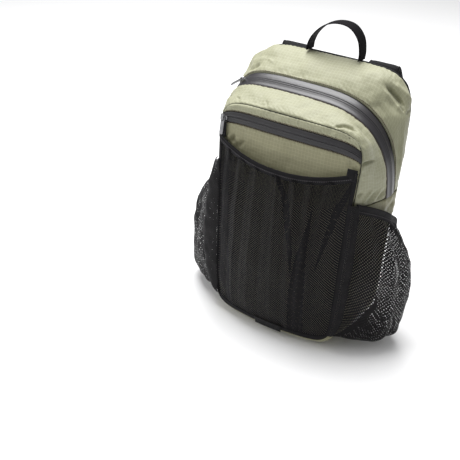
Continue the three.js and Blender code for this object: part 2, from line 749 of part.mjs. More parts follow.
// The pull runs along +Y from its crossbar, which lies on the X axis.
function pullBar() {
  const half = pullWidth / 2;
  const eyeHalf = bridgeWidth / 2 + pullClearance;
  const outline = new THREE.Shape();
  outline.moveTo(-half, -pullWall / 2);
  outline.lineTo(half, -pullWall / 2);
  outline.lineTo(half, pullLength - half);
  outline.absarc(0, pullLength - half, half, 0, Math.PI, false);
  outline.closePath();
  const eye = new THREE.Path();
  eye.moveTo(-eyeHalf, pullWall / 2);
  eye.lineTo(-eyeHalf, eyeLength);
  eye.lineTo(eyeHalf, eyeLength);
  eye.lineTo(eyeHalf, pullWall / 2);
  eye.closePath();
  outline.holes.push(eye);
  const settings = { depth: pullWall, bevelEnabled: false, curveSegments: 8 };
  return new THREE.ExtrudeGeometry(outline, settings).translate(0, 0, -pullWall / 2);
}

// A slider on its tape at `place`, with the pull hinged on it and lying along `hang`.
function addSlider(name, place, normal, alongTape, hang) {
  const across = alongTape.clone().cross(normal).normalize();
  const seat = place.clone().addScaledVector(normal, seamGap);
  const plateHolder = placed(seat, across, normal.clone().cross(across).normalize());
  const hinge = hang.clone().cross(normal).normalize();
  const turned = Math.abs(hinge.dot(across)) < 0.5;
  addPiece(`${name}_slider`, join(sliderPlate(), sliderBridge(turned)), 'metal', plateHolder);
  const eye = seat.clone().addScaledVector(normal, sliderWall + crossbarLift);
  addPiece(`${name}_pull`, pullBar(), 'metal', placed(eye, hinge, hang.clone().normalize()));
}

function addMainSlider() {
  const atU = (u.zipRear + u.zipFront) / 2;
  const atV = mainSliderTurn;
  const reach = 0.02;
  const along = shell(atU, atV + reach).sub(shell(atU, atV - reach)).normalize();
  const normal = shellNormal(atU, atV);
  addSlider('main', shell(atU, atV), normal, along, along);
}

function addPocketSlider() {
  const atA = pocketSliderAcross;
  const place = frontFace(atA, levelOnFront(pocketZipLevel, 0), 0);
  const above = frontFace(atA, levelOnFront(pocketZipLevel + pocketZipTapeWidth / 2, 0), 0);
  const upTape = above.sub(place).setX(0).normalize();
  const alongTape = new THREE.Vector3(-1, 0, 0);
  const normal = upTape.clone().cross(alongTape).normalize();
  const hang = upTape.clone().negate().addScaledVector(normal, pocketPullLean);
  addSlider('pocket', place, normal, alongTape, hang);
}

addShellPanels();
addFoot();
addBackPanel();
addFrontPanels();
addFrontPocket();
addFrontLabel();
for (const [name, side] of [['left', -1], ['right', 1]]) {
  addSidePocket(name, side);
  const strapCurve = addShoulderStrap(name, side);
  addStrapFoot(name, side, strapCurve);
}
addHaulLoop();
addMainSlider();
addPocketSlider();

export default backpack;
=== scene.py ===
"""Packable backpack: thin ripstop cloth, an arched main zip, a zipped front pocket and mesh pockets.

Sizes are in millimetres until a mesh is made. +X is the bag's right as seen from the front, -Y is the
front, +Z is up, and the origin lies on the floor under the middle of the bag.
"""

import math

import bpy
import numpy as np
from mathutils import Matrix, Vector


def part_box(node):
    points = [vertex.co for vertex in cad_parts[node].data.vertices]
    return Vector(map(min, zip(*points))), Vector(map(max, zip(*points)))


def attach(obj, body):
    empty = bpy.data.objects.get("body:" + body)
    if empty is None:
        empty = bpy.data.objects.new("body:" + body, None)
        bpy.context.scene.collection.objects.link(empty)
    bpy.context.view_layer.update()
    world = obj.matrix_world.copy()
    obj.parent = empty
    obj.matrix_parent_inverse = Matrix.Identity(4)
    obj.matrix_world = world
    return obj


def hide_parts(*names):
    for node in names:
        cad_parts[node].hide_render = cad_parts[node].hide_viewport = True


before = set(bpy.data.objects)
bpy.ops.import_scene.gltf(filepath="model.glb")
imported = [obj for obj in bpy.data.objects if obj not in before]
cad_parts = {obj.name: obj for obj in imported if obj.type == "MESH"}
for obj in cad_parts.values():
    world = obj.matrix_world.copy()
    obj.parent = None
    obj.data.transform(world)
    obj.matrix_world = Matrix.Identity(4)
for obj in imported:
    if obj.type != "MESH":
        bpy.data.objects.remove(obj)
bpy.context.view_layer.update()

MM = 0.001
BAG_WIDTH, BAG_HEIGHT, BAG_DEPTH = 290.0, 440.0, 140.0
HALF_WIDTH = BAG_WIDTH / 2
SIDE_SEAM = 0.591 * BAG_HEIGHT
CLOTH_WALL = 1.1
BACK_PADDING = 4.0
SEAM_GAP = 0.3
POCKET_SEAT = 0.9
ZIP_TAPE, POCKET_ZIP_TAPE, POCKET_ZIP_LEVEL = 27.0, 17.5, 352.5
FRONT_BINDING, SIDE_BINDING, BINDING_WALL = 8.0, 13.0, 2.6
FRONT_BILLOW, LEFT_BILLOW, RIGHT_BILLOW = 17.0, 79.0, 62.0
SIDE_MOUTH_FRONT, SIDE_MOUTH_BACK, SIDE_FOOT_FRONT, SIDE_FOOT_BACK = 258.0, 174.0, 10.0, 34.0
RIGHT_SAG_FRONT, LEFT_SAG_FRONT, SAG_BACK = 2.2, 1.6, 0.5
FRONT_MOUTH_END, FRONT_MOUTH_MIDDLE = 313.0, 291.0
POCKET_REACH, POCKET_FOOT = 0.99, -0.975
FOOT_SQUARE = 10.0
FRONT_CROWN = -0.055 * BAG_DEPTH
CAD_CLOTH, NET_WALL, LABEL_STANDOFF = 1.6, 1.2, 2.4
LOOP_WIDTH, LOWER_WIDTH, WEBBING_WALL = 25.0, 20.0, 1.8
STRAP_WIDTH, STRAP_TAPER, STRAP_WALL, STRAP_HALF = 50.0, 0.28, 9.0, 4.4
ADJUSTER_LENGTH = 26.0
SIDE_POCKET_FRONT, SIDE_POCKET_BACK = 4.975, 0.07  # places in u on the shell
CORNER_FOOT, CORNER_SHARE, CORNER_U = 22.0, 0.955, 4.90
SIDES = (("right", 1), ("left", -1))
# The narrowest sheet, in metres, and the least share of its rectangle that it fills.
LEAST_SHEET, LEAST_FILL = 0.0101, 0.301

Y_TOP, Y_SIDE, Y_FOOT, TOP, FOOT, HALF, FLARE, FOOT_HALF, FOOT_BOW, SQUARE_RIGHT, SQUARE_LEFT = range(11)
# Rings of the shell from the back panel to the front panel: y in shares of the depth, heights in shares
# of the height and widths in shares of half the width. A square of 2 is a round corner.
RINGS = np.array([
    [0.490, 0.500, 0.470, 1.000, 0.020, 0.895, 0.09, 0.86, 0.00, 5.5, 5.5],
    [0.280, 0.350, 0.350, 0.975, 0.000, 0.980, 0.07, 0.87, 0.00, 4.3, 5.6],
    [0.000, 0.130, 0.090, 0.911, 0.000, 0.985, 0.00, 0.85, 0.00, 2.7, 5.3],
    [-0.200, -0.170, -0.240, 0.887, 0.000, 0.930, 0.02, 0.81, -0.04, 3.8, 6.0],
    [-0.390, -0.443, -0.480, 0.855, 0.022, 0.825, 0.04, 0.78, -0.10, 6.6, 6.6],
])
RING_UNITS = np.array([BAG_DEPTH] * 3 + [BAG_HEIGHT] * 2 + [HALF_WIDTH] * 3 + [BAG_DEPTH, 1.0, 1.0])

# Dents of the slack cloth: u, v, reach along u, reach along v, depth in shares of the width.
DENTS = (
    (0.95, 3.05, 0.55, 0.24, 0.052), (0.70, 3.42, 0.60, 0.20, -0.016), (1.25, 4.95, 0.45, 0.20, 0.026),
    (0.55, 4.98, 0.45, 0.26, -0.018), (4.05, 3.02, 0.40, 0.22, 0.026), (4.10, 2.50, 0.55, 0.24, 0.020),
    (4.05, 5.00, 0.40, 0.20, 0.018),
)
SIDE_SECTION = np.array([  # up, out, drop
    [0.00, 0.04, 0.00], [0.10, 0.56, 0.28], [0.25, 0.94, 0.50], [0.40, 1.00, 0.40],
    [0.55, 0.98, 0.20], [0.70, 0.84, 0.06], [0.85, 0.51, 0.00], [1.00, 0.17, 0.00],
])
FRONT_SECTION = np.array([[0.00, 0.08], [0.12, 0.66], [0.35, 1.00], [0.70, 0.94], [1.00, 0.84]])
LOOP_ROUTE = (
    (-0.300, 0.000, 1.000), (-0.295, 0.004, 1.022), (-0.250, 0.012, 1.058), (-0.130, 0.020, 1.097),
    (0.030, 0.022, 1.115), (0.180, 0.020, 1.108), (0.285, 0.014, 1.074), (0.322, 0.004, 1.028),
    (0.320, 0.000, 1.000),
)
STRAP_ROUTE = (
    (0.525, 0.000, 0.905), (0.528, 0.006, 0.952), (0.532, 0.070, 0.986), (0.545, 0.155, 0.950),
    (0.570, 0.250, 0.850), (0.600, 0.280, 0.705), (0.640, 0.235, 0.540), (0.680, 0.165, 0.420),
)
WEBBING_ROUTE = ((0.700, 0.012, 0.230), (0.705, 0.000, 0.155), (0.705, 0.000, 0.085))

# The camera: its frame and focal length in pixels, and its distance in millimetres.
FRAME, FOCAL, DISTANCE, SENSOR = 460, 850.03, 1379.2, 36
AZIMUTH, ELEVATION, ROLL = math.radians(32.62), math.radians(29.8), math.radians(2.49)
LOOK_AT = np.array([-80.4, -83.7, 166.9])
BACK = np.array([math.sin(AZIMUTH) * math.cos(ELEVATION), -math.cos(AZIMUTH) * math.cos(ELEVATION),
                 math.sin(ELEVATION)])
LEVEL = np.array([math.cos(AZIMUTH), math.sin(AZIMUTH), 0.0])
ACROSS = LEVEL * math.cos(ROLL) + np.cross(BACK, LEVEL) * math.sin(ROLL)
ABOVE = np.cross(BACK, LEVEL) * math.cos(ROLL) - LEVEL * math.sin(ROLL)
EYE = LOOK_AT + BACK * DISTANCE

FORWARD = np.array([0.0, -1.0, 0.0])


def mix(a, b, t):
    return a + (b - a) * t


def seen_at(points, normals, pixels):
    """The points of a grid that the camera sees nearest to some pixels of the frame."""
    away = points - EYE
    depth = -(away @ BACK)
    x = FRAME / 2 + FOCAL * (away @ ACROSS) / depth
    y = FRAME / 2 - FOCAL * (away @ ABOVE) / depth
    hidden = 1e6 * (np.sum(normals * away, -1) > 0)
    found = []
    for px, py in pixels:
        k = np.argmin((x - px) ** 2 + (y - py) ** 2 + hidden)
        found.append(points.reshape(-1, 3)[k])
    return np.array(found)


def along_table(table, column, at):
    """A smooth curve through one column of a table that is in order of its first column."""
    key = table[:, 0]
    i = np.clip(np.searchsorted(key, at, side="right") - 1, 0, len(key) - 2)
    before, after = np.maximum(i - 1, 0), np.minimum(i + 2, len(key) - 1)
    value = table[:, column]
    span = key[i + 1] - key[i]
    t = (at - key[i]) / span
    slope_from = (value[i + 1] - value[before]) / (key[i + 1] - key[before]) * span
    slope_to = (value[after] - value[i]) / (key[after] - key[i]) * span
    return (value[i] * (2 * t**3 - 3 * t**2 + 1) + slope_from * (t**3 - 2 * t**2 + t)
            + value[i + 1] * (3 * t**2 - 2 * t**3) + slope_to * (t**3 - t**2))


def sized_rings():
    """The rings in millimetres, with the main zip's row opened into the two edges of its tape."""
    sized = RINGS * RING_UNITS
    slope = math.atan2(sized[1, TOP] - sized[3, TOP], sized[1, Y_TOP] - sized[3, Y_TOP])
    edges = []
    for way in (1, -1):
        edge = sized[2].copy()
        edge[Y_TOP] += way * ZIP_TAPE / 2 * math.cos(slope)
        edge[TOP] += way * ZIP_TAPE / 2 * math.sin(slope)
        edge[[Y_SIDE, Y_FOOT]] += way * ZIP_TAPE / 2
        edges.append(edge)
    return np.array([sized[0], sized[1], *edges, sized[3], sized[4]])


ROWS = sized_rings()


def ring_at(u):
    u = np.asarray(u, float)
    rows = ROWS.reshape(6, 11, *([1] * u.ndim))

    def quadratic(a, b, c, t):
        return a * (1 - t) * (1 - 2 * t) + b * 4 * t * (1 - t) + c * t * (2 * t - 1)

    rear = quadratic(rows[0], rows[1], rows[2], u / 2)
    tape = mix(rows[2], rows[3], u - 2)
    front = quadratic(rows[3], rows[4], rows[5], (u - 3) / 2)
    ring = np.where(u <= 2, rear, np.where(u <= 3, tape, front))
    ring[FOOT] = np.maximum(ring[FOOT], 0)
    return ring


def in_ring(ring, across, up):
    """A point in the plane of a ring, where across and up reach 1 at its sides, its top and its foot."""
    rise = np.abs(up)
    above = up > 0
    x = across * np.where(above, ring[HALF] + ring[FLARE] * rise, mix(ring[HALF], ring[FOOT_HALF], rise))
    y_end = np.where(above, ring[Y_TOP], ring[Y_FOOT] + ring[FOOT_BOW] * (1 - across**2))
    z_end = np.where(above, ring[TOP], ring[FOOT])
    return np.stack(np.broadcast_arrays(x, mix(ring[Y_SIDE], y_end, rise), mix(SIDE_SEAM, z_end, rise)), -1)


def squareness(ring, a, b):
    return np.where(b > 0, np.where(a > 0, ring[SQUARE_RIGHT], ring[SQUARE_LEFT]), FOOT_SQUARE)


def smooth_shell(u, v):
    """The shell without dents: v runs round a ring from the middle of its foot, with 4 at its top."""
    turn = np.mod(v, 8.0)
    right = turn <= 4
    climb = np.where(right, turn, 8 - turn)
    side = np.where(right, 1.0, -1.0)
    a = side * np.where(climb <= 1, climb, np.where(climb <= 3, 1.0, 4 - climb))
    b = np.where(climb <= 1, -1.0, np.where(climb <= 3, climb - 2, 1.0))
    ring = ring_at(u)
    square = squareness(ring, a, b)
    scale = (np.abs(a) ** square + np.abs(b) ** square) ** (-1 / square)
    return in_ring(ring, a * scale, b * scale)


def shell(u, v):
    u = np.clip(u, 0, 5)
    point = smooth_shell(u, v)
    inward = np.stack([-point[..., 0], np.zeros_like(point[..., 0]), SIDE_SEAM - point[..., 2]], -1)
    inward /= np.linalg.norm(inward, axis=-1, keepdims=True) + 1e-9
    free = np.sin(np.pi * u / 5) ** 0.5
    turn = np.mod(v, 8.0)
    for at_u, at_v, reach_u, reach_v, depth in DENTS:
        bump = np.exp(-(((u - at_u) / reach_u) ** 2) - ((turn - at_v) / reach_v) ** 2)
        point = point + inward * (depth * BAG_WIDTH * free * bump)[..., None]
    return point


def corner_dip(a, square):
    return (1 - np.abs(a) ** square / 2) ** (1 / square)


def end_panel(ring, a, b, crown):
    ring = ring.reshape(11, *([1] * np.ndim(a)))
    square = squareness(ring, a, b)
    point = in_ring(ring, a * corner_dip(b, square), b * corner_dip(a, square))
    point[..., 1] += crown * (1 - a**2) * (1 - b**2)
    return point


FRONT_RING, BACK_RING = ROWS[5], ROWS[0]


def front_face(a, b, standoff):
    point = end_panel(FRONT_RING, a, b, FRONT_CROWN)
    point[..., 1] -= SEAM_GAP + CAD_CLOTH + standoff
    return point


def level_on_front(z, a):
    return (z - SIDE_SEAM) / (FRONT_RING[TOP] - SIDE_SEAM) / corner_dip(a, FRONT_RING[SQUARE_RIGHT])


def front_pocket_face(up, a, wall):
    """The front pocket: up runs from its foot to its mouth, and past 1 through the binding."""
    mouth_z = mix(FRONT_MOUTH_MIDDLE, FRONT_MOUTH_END, (a / POCKET_REACH) ** 2)
    mouth = level_on_front(mouth_z + np.maximum(up - 1, 0) * FRONT_BINDING, a)
    low = np.minimum(up, 1)
    bulge = 1 - np.abs(a / POCKET_REACH) ** 3
    out = along_table(FRONT_SECTION, 1, low)
    return front_face(a, mix(POCKET_FOOT, mouth, low), SEAM_GAP + wall + FRONT_BILLOW * out * bulge)


def side_shell(side, at_u, level):
    """The shell without dents, at a place in u and a height on one side."""
    ring = ring_at(at_u)
    reach = np.where(level > SIDE_SEAM, ring[TOP] - SIDE_SEAM, SIDE_SEAM - ring[FOOT])
    at_v = 2 + (level - SIDE_SEAM) / reach
    return smooth_shell(at_u, at_v if side > 0 else 8 - at_v)


def side_pocket_face(side, up, along, wall):
    """A side pocket: along runs from front to back, and up as on the front pocket."""
    low = np.minimum(up, 1)
    foot = mix(SIDE_FOOT_FRONT, SIDE_FOOT_BACK, along)
    level = mix(foot, mix(SIDE_MOUTH_FRONT, SIDE_MOUTH_BACK, along), low)
    level = level + np.maximum(up - 1, 0) * SIDE_BINDING
    point = side_shell(side, mix(SIDE_POCKET_FRONT, SIDE_POCKET_BACK, along), level)
    belly = (RIGHT_BILLOW if side > 0 else LEFT_BILLOW) * np.sin(np.pi * along) ** 0.6
    point[..., 0] += side * (POCKET_SEAT + wall + belly * along_table(SIDE_SECTION, 1, low))
    sag = mix(RIGHT_SAG_FRONT if side > 0 else LEFT_SAG_FRONT, SAG_BACK, along)
    point[..., 2] -= sag * belly * along_table(SIDE_SECTION, 2, low)
    return point


def smooth_curve(points, count):
    """A centripetal curve through points, sampled evenly in its parameter."""
    p = np.array(points, float)
    p = np.vstack([2 * p[0] - p[1], p, 2 * p[-1] - p[-2]])
    out = []
    for t in np.linspace(0, len(p) - 3, count):
        i = min(int(t), len(p) - 4)
        w = t - i
        a, b, c, d = p[i:i + 4]
        ta, tb, tc = (np.linalg.norm(e) ** 0.5 for e in (b - a, c - b, d - c))
        m1 = ((b - a) / ta - (c - a) / (ta + tb) + (c - b) / tb) * tb
        m2 = ((c - b) / tb - (d - b) / (tb + tc) + (d - c) / tc) * tb
        out.append(b + m1 * w + (-3 * b + 3 * c - 2 * m1 - m2) * w**2 + (2 * b - 2 * c + m1 + m2) * w**3)
    return np.array(out)


# Grids of points

def lay_grid(surface, first, second):
    return surface(*np.meshgrid(first, second, indexing="ij"))


def grid_normals(points, outward):
    """Unit normals of a grid, on the side of `outward`, a direction or one for each point."""
    normal = np.cross(np.gradient(points, axis=0), np.gradient(points, axis=1))
    normal /= np.linalg.norm(normal, axis=-1, keepdims=True) + 1e-12
    if np.mean(np.sum(normal * outward, -1)) < 0:
        normal = -normal
    return normal


def grid_lengths(points):
    """Distances along the first axis and along the second, in millimetres."""
    first = np.linalg.norm(np.diff(points, axis=0), axis=-1)
    second = np.linalg.norm(np.diff(points, axis=1), axis=-1)
    s = np.concatenate([np.zeros((1, points.shape[1])), np.cumsum(first, 0)], 0)
    t = np.concatenate([np.zeros((points.shape[0], 1)), np.cumsum(second, 1)], 1)
    return s, t


def away_from_middle(points):
    return points - np.array([0.0, 0.0, 0.5 * BAG_HEIGHT])


def fold(points, route, width, depth):
    """How far a fold lifts each point: its crest or valley runs along a route of points."""
    best = np.full(points.shape[:-1], 1e9)
    place = np.zeros(points.shape[:-1])
    route = np.asarray(route, float)
    count = len(route) - 1
    for k in range(count):
        a, d = route[k], route[k + 1] - route[k]
        t = np.clip(np.sum((points - a) * d, -1) / (d @ d + 1e-9), 0, 1)
        gap = np.linalg.norm(points - (a + t[..., None] * d), axis=-1)
        nearer = gap < best
        best = np.where(nearer, gap, best)
        place = np.where(nearer, (k + t) / count, place)
    taper = np.clip(np.minimum(place, 1 - place) * 4, 0.12, 1)
    return depth * np.exp(-((best / (width * mix(0.6, 1, taper))) ** 2)) * taper


def soft_noise(points, scale, seed, count=26):
    """Smooth noise from -1 to 1, made of waves in many directions about `scale` millimetres long."""
    rng = np.random.default_rng(seed)
    total = np.zeros(points.shape[:-1])
    for _ in range(count):
        wave = rng.normal(size=3)
        wave *= 2 * np.pi / (scale * rng.uniform(0.6, 1.7)) / np.linalg.norm(wave)
        total += np.sin(points @ wave + rng.uniform(0, 2 * np.pi))
    return total / math.sqrt(count)


def seam_edges(points, rows=(True, True), columns=(True, True)):
    """The distance from each point to the nearest sewn edge of a grid."""
    s, t = grid_lengths(points)
    gaps = []
    if rows[0]:
        gaps.append(s)
    if rows[1]:
        gaps.append(s[-1:] - s)
    if columns[0]:
        gaps.append(t)
    if columns[1]:
        gaps.append(t[:, -1:] - t)
    return np.minimum.reduce(gaps)


def sewn(points, gap, turn_in=2.5, reach=3.4, pucker=0.5, pitch=8.0, seed=1):
    """Turns the sewn edges in and puckers the cloth beside them. Returns the lift of each point."""
    ripple = np.sin(2 * np.pi * (soft_noise(points, 4 * pitch, seed) * 0.5
                                 + (points[..., 0] + 0.7 * points[..., 2] + 0.4 * points[..., 1]) / pitch))
    return (-turn_in * np.clip(1 - gap / reach, 0, 1) ** 2
            + pucker * ripple * np.exp(-gap / 8) * np.clip(gap / 2.5, 0, 1))


def raised(points, lift, outward):
    """A grid lifted along its normals, with its new normals."""
    points = points + grid_normals(points, outward) * lift[..., None]
    return points, grid_normals(points, outward)


# Meshes

def make_object(name, vertices, faces, uvs=None):
    mesh = bpy.data.meshes.new(name)
    mesh.from_pydata((np.asarray(vertices) * MM).tolist(), [], [list(map(int, f)) for f in faces])
    if uvs is not None:
        layer = mesh.uv_layers.new(name="cut")
        corner = np.empty(len(mesh.loops), int)
        mesh.loops.foreach_get("vertex_index", corner)
        layer.data.foreach_set("uv", (np.asarray(uvs)[corner] * MM).astype(np.float32).ravel())
    mesh.polygons.foreach_set("use_smooth", [True] * len(mesh.polygons))
    mesh.update()
    thing = bpy.data.objects.new(name, mesh)
    bpy.context.scene.collection.objects.link(thing)
    return thing


def quads(rows, columns, base, flip):
    at = (np.arange(rows - 1)[:, None] * columns + np.arange(columns - 1)[None]).ravel() + base
    cells = np.stack([at, at + columns, at + columns + 1, at + 1], -1)
    return cells[:, ::-1] if flip else cells


def closed_sheet(points, normals, wall):
    """Vertices and faces of a sheet whose outer face is the grid, with a wall behind it and rims."""
    rows, columns = points.shape[:2]
    n = rows * columns
    outer = points.reshape(-1, 3)
    inner = points - normals * np.asarray(wall)[..., None]
    mid = (rows // 2, columns // 2)
    across = np.cross(points[mid[0] + 1, mid[1]] - points[mid], points[mid[0], mid[1] + 1] - points[mid])
    turned = across @ normals[mid] < 0
    faces = [quads(rows, columns, 0, turned), quads(rows, columns, n, not turned)]
    rim = np.concatenate([
        np.arange(columns), columns * np.arange(1, rows) + columns - 1,
        n - 2 - np.arange(columns - 1), columns * np.arange(rows - 2, 0, -1),
    ])
    after = np.roll(rim, -1)
    side = np.stack([rim, after, after + n, rim + n], -1)
    faces.append(side[:, ::-1] if turned else side)
    return np.vstack([outer, inner.reshape(-1, 3)]), np.vstack(faces)


def sheet_piece(name, points, normals, wall, finish, nodes=()):
    vertices, faces = closed_sheet(points, normals, wall)
    s, t = grid_lengths(points)
    flat = np.stack([t - t[:, [t.shape[1] // 2]], s], -1).reshape(-1, 2)
    thing = make_object(name, vertices, faces, np.vstack([flat, flat]))
    thing.data.materials.append(finish)
    return settle(thing, nodes)


def settle(thing, nodes=(), body="bag"):
    if nodes:
        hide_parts(*nodes)
    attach(thing, body)
    return thing


def declare_sheet(thing, points, share=1.0):
    s, t = grid_lengths(points)
    width, length = float(t[:, -1].max()) * MM, float(s[-1].max()) * MM
    first, second = points[1:, :-1] - points[:-1, :-1], points[:-1, 1:] - points[:-1, :-1]
    cells = np.linalg.norm(np.cross(first, second), axis=-1)
    area = float(cells.sum()) * MM * MM * share
    area = min(max(area, LEAST_FILL * width * length), width * length)
    if min(width, length) < LEAST_SHEET:
        return  # a narrow tape is sewn down over its whole width


def sewn_sheet(name, points, normals, wall, finish, nodes=()):
    declare_sheet(sheet_piece(name, points, normals, wall, finish, nodes), points)


def band_grid(route, across, width, wall, columns=9):
    """A flat band along a route: its outer points, their normals, and its three directions on the way.

    `across` is the side that its width runs to.
    """
    tangent = np.gradient(route, axis=0)
    tangent /= np.linalg.norm(tangent, axis=-1, keepdims=True)
    across = np.asarray(across, float)
    wide = across - tangent * (tangent @ across)[:, None]
    wide /= np.linalg.norm(wide, axis=-1, keepdims=True)
    out = np.cross(tangent, wide)
    place = np.linspace(-1, 1, columns)
    width = np.broadcast_to(width, len(route))
    points = (route[:, None] + wide[:, None] * (place[None] * width[:, None] / 2)[..., None]
              + out[:, None] * (wall / 2))
    return points, np.broadcast_to(out[:, None], points.shape).copy(), tangent, wide, out


def stitches(name, route, normals, finish, pitch=3.3, length=2.6, radius=0.75, lift=0.5):
    """A row of stitches along a route that lies on cloth."""
    route = np.asarray(route, float)
    step = np.concatenate([[0], np.cumsum(np.linalg.norm(np.diff(route, axis=0), axis=1))])
    count = int(step[-1] / pitch)
    at = (np.arange(count) + 0.5) * pitch
    place = np.stack([np.interp(at, step, route[:, k]) for k in range(3)], -1)
    ahead = np.stack([np.interp(at + 0.5, step, route[:, k]) for k in range(3)], -1) - place
    ahead /= np.linalg.norm(ahead, axis=1, keepdims=True) + 1e-9
    up = np.stack([np.interp(at, step, np.asarray(normals)[:, k]) for k in range(3)], -1)
    up /= np.linalg.norm(up, axis=1, keepdims=True)
    side = np.cross(ahead, up)
    ring = [(-1, 0.0), (-0.55, 1.0), (0.55, 1.0), (1, 0.0)]
    vertices, faces = [], []
    for k in range(count):
        base = len(vertices)
        for along, swell in ring:
            middle = place[k] + ahead[k] * along * length / 2 + up[k] * (lift + radius * (swell - 0.7))
            for q in range(4):
                turn = math.pi / 2 * q + math.pi / 4
                thick = radius * (0.35 + 0.65 * swell)
                vertices.append(middle + thick * (math.cos(turn) * side[k] + math.sin(turn) * up[k]))
        for r in range(3):
            for q in range(4):
                a, b = base + 4 * r + q, base + 4 * r + (q + 1) % 4
                faces.append((a, b, b + 4, a + 4))
        faces.append((base + 3, base + 2, base + 1, base))
        faces.append((base + 12, base + 13, base + 14, base + 15))
    thing = make_object(name, vertices, faces)
    thing.data.materials.append(finish)
    return settle(thing)


# Materials

def node_material(name, colour, rough, metal=0.0, sheen=0.0, coat=0.0, specular=0.5):
    material = bpy.data.materials.new(name)
    material.use_nodes = True
    shader = material.node_tree.nodes["Principled BSDF"]
    values = {
        "Base Color": (*colour, 1), "Roughness": rough, "Metallic": metal, "Sheen Weight": sheen,
        "Sheen Roughness": 0.5, "Coat Weight": coat, "Coat Roughness": 0.35, "Specular IOR Level": specular,
    }
    for socket, value in values.items():
        shader.inputs[socket].default_value = value
    return material, material.node_tree, shader


def wired(tree, kind, values=(), **settings):
    """A new node, its sockets linked or set, by their numbers or by their names."""
    node = tree.nodes.new(kind)
    for key, value in settings.items():
        setattr(node, key, value)
    for socket, value in values.items() if isinstance(values, dict) else enumerate(values):
        if isinstance(value, bpy.types.NodeSocket):
            tree.links.new(value, node.inputs[socket])
        elif value is not None:
            node.inputs[socket].default_value = value
    return node


def worked(tree, operation, *values):
    return wired(tree, "ShaderNodeMath", values, operation=operation).outputs[0]


def blended(tree, mask, low, high):
    """A colour between two, where each is a colour or a socket."""
    values = {"Factor": mask, "A": low, "B": high}
    return wired(tree, "ShaderNodeMix", values, data_type="RGBA").outputs["Result"]


def speckled(tree, scale, detail=None):
    """Noise in the object's own frame."""
    place = tree.nodes.new("ShaderNodeTexCoord")
    values = {"Vector": place.outputs["Object"], "Scale": scale, "Detail": detail}
    return wired(tree, "ShaderNodeTexNoise", values).outputs["Fac"]


def cut_lines(tree, ways, pitches, share):
    """For each way across the flat cut, 1 on thin lines a pitch apart that falls off smoothly to 0."""
    split = wired(tree, "ShaderNodeSeparateXYZ", (tree.nodes.new("ShaderNodeUVMap").outputs[0],))
    lines = []
    for way, pitch in zip(ways, pitches):
        wave = worked(tree, "PINGPONG", worked(tree, "MULTIPLY", split.outputs[way], 1 / pitch), 0.5)
        spread = wired(tree, "ShaderNodeMapRange", (wave, 0.0, share, 1.0, 0.0),
                       interpolation_type="SMOOTHSTEP")
        lines.append(spread.outputs[0])
    return lines


def dress(tree, shader, colour, height, strength, distance):
    """Gives a shader its colour and its bumps."""
    bump = wired(tree, "ShaderNodeBump", {"Strength": strength, "Distance": distance, "Height": height})
    tree.links.new(colour, shader.inputs["Base Color"])
    tree.links.new(bump.outputs[0], shader.inputs["Normal"])


def ripstop(name, base, pale, deep, rough=0.5):
    """Coated ripstop cloth: a grid of thicker threads, a fine weave, and slow changes of tone."""
    material, tree, shader = node_material(name, base, rough, sheen=0.15, specular=0.45)
    grid = worked(tree, "MAXIMUM", *cut_lines(tree, (0, 1), (0.0054, 0.0054), 0.12))
    weave = worked(tree, "MULTIPLY", *cut_lines(tree, (0, 1), (0.0009, 0.0009), 0.5))
    tone = blended(tree, speckled(tree, 9.0, 3.0), (*deep, 1), (*base, 1))
    lit = blended(tree, worked(tree, "MULTIPLY", grid, 0.55), tone, (*pale, 1))
    height = worked(tree, "ADD", grid, weave)
    rise = worked(tree, "MULTIPLY_ADD", speckled(tree, 60.0, 4.0), 3.0, height)
    dress(tree, shader, lit, rise, 0.35, 0.0003)
    return material


def woven(name, base, pale, rough, pitch, share=0.5, ways=(0, 1), depth=0.0003, strength=0.6, **finish):
    """A woven or knitted cloth with threads about a pitch apart both ways, or ribs across one way."""
    material, tree, shader = node_material(name, base, rough, **finish)
    lines = cut_lines(tree, ways, [pitch * (1 if way else 0.8) for way in ways], share)
    threads = worked(tree, "MULTIPLY", *lines) if len(lines) == 2 else lines[0]
    blend = worked(tree, "MULTIPLY", threads, speckled(tree, 25.0))
    dress(tree, shader, blended(tree, blend, (*base, 1), (*pale, 1)), threads, strength, depth)
    return material


def worn(name, base, pale, rough, metal, scale=180.0):
    """Metal or plastic with fine uneven wear in its tone, gloss and surface."""
    material, tree, shader = node_material(name, base, rough, metal=metal)
    specks = speckled(tree, scale, 5.0)
    gloss = wired(tree, "ShaderNodeMapRange", (specks, 0.3, 0.7, rough * 0.7, rough * 1.3))
    tree.links.new(gloss.outputs[0], shader.inputs["Roughness"])
    dress(tree, shader, blended(tree, specks, (*base, 1), (*pale, 1)), specks, 0.15, 0.0001)
    return material


CLOTH = ripstop("ripstop", (0.300, 0.300, 0.196), (0.385, 0.385, 0.268), (0.265, 0.265, 0.168))
# A darker copy of the same ripstop: painted shade on the lower sides, the bottom and the front panel below
# the pocket zip.
SHADED_CLOTH = ripstop("ripstop_painted_shade", (0.250, 0.240, 0.142), (0.325, 0.315, 0.20), (0.22, 0.21, 0.12))
TAPE = woven("zip_tape", (0.016, 0.0145, 0.0175), (0.028, 0.026, 0.030), 0.38, 0.0011,
             coat=0.2, depth=0.0001, strength=0.25)
POCKET_TAPE = woven("pocket_zip_tape", (0.010, 0.009, 0.011), (0.019, 0.018, 0.020), 0.45, 0.0011,
                    depth=0.0001, strength=0.3)
NET = woven("net", (0.0045, 0.004, 0.0047), (0.009, 0.008, 0.0095), 0.58, 0.0008, specular=0.16)
BINDING = woven("binding", (0.0045, 0.004, 0.005), (0.010, 0.0095, 0.011), 0.65, 0.0012,
                ways=(0,), specular=0.16)
LABEL = woven("label", (0.006, 0.006, 0.0065), (0.013, 0.013, 0.014), 0.7, 0.0008, specular=0.25)
WEBBING = woven("webbing", (0.0045, 0.004, 0.005), (0.009, 0.0085, 0.010), 0.75, 0.0016,
                depth=0.0004, specular=0.08)
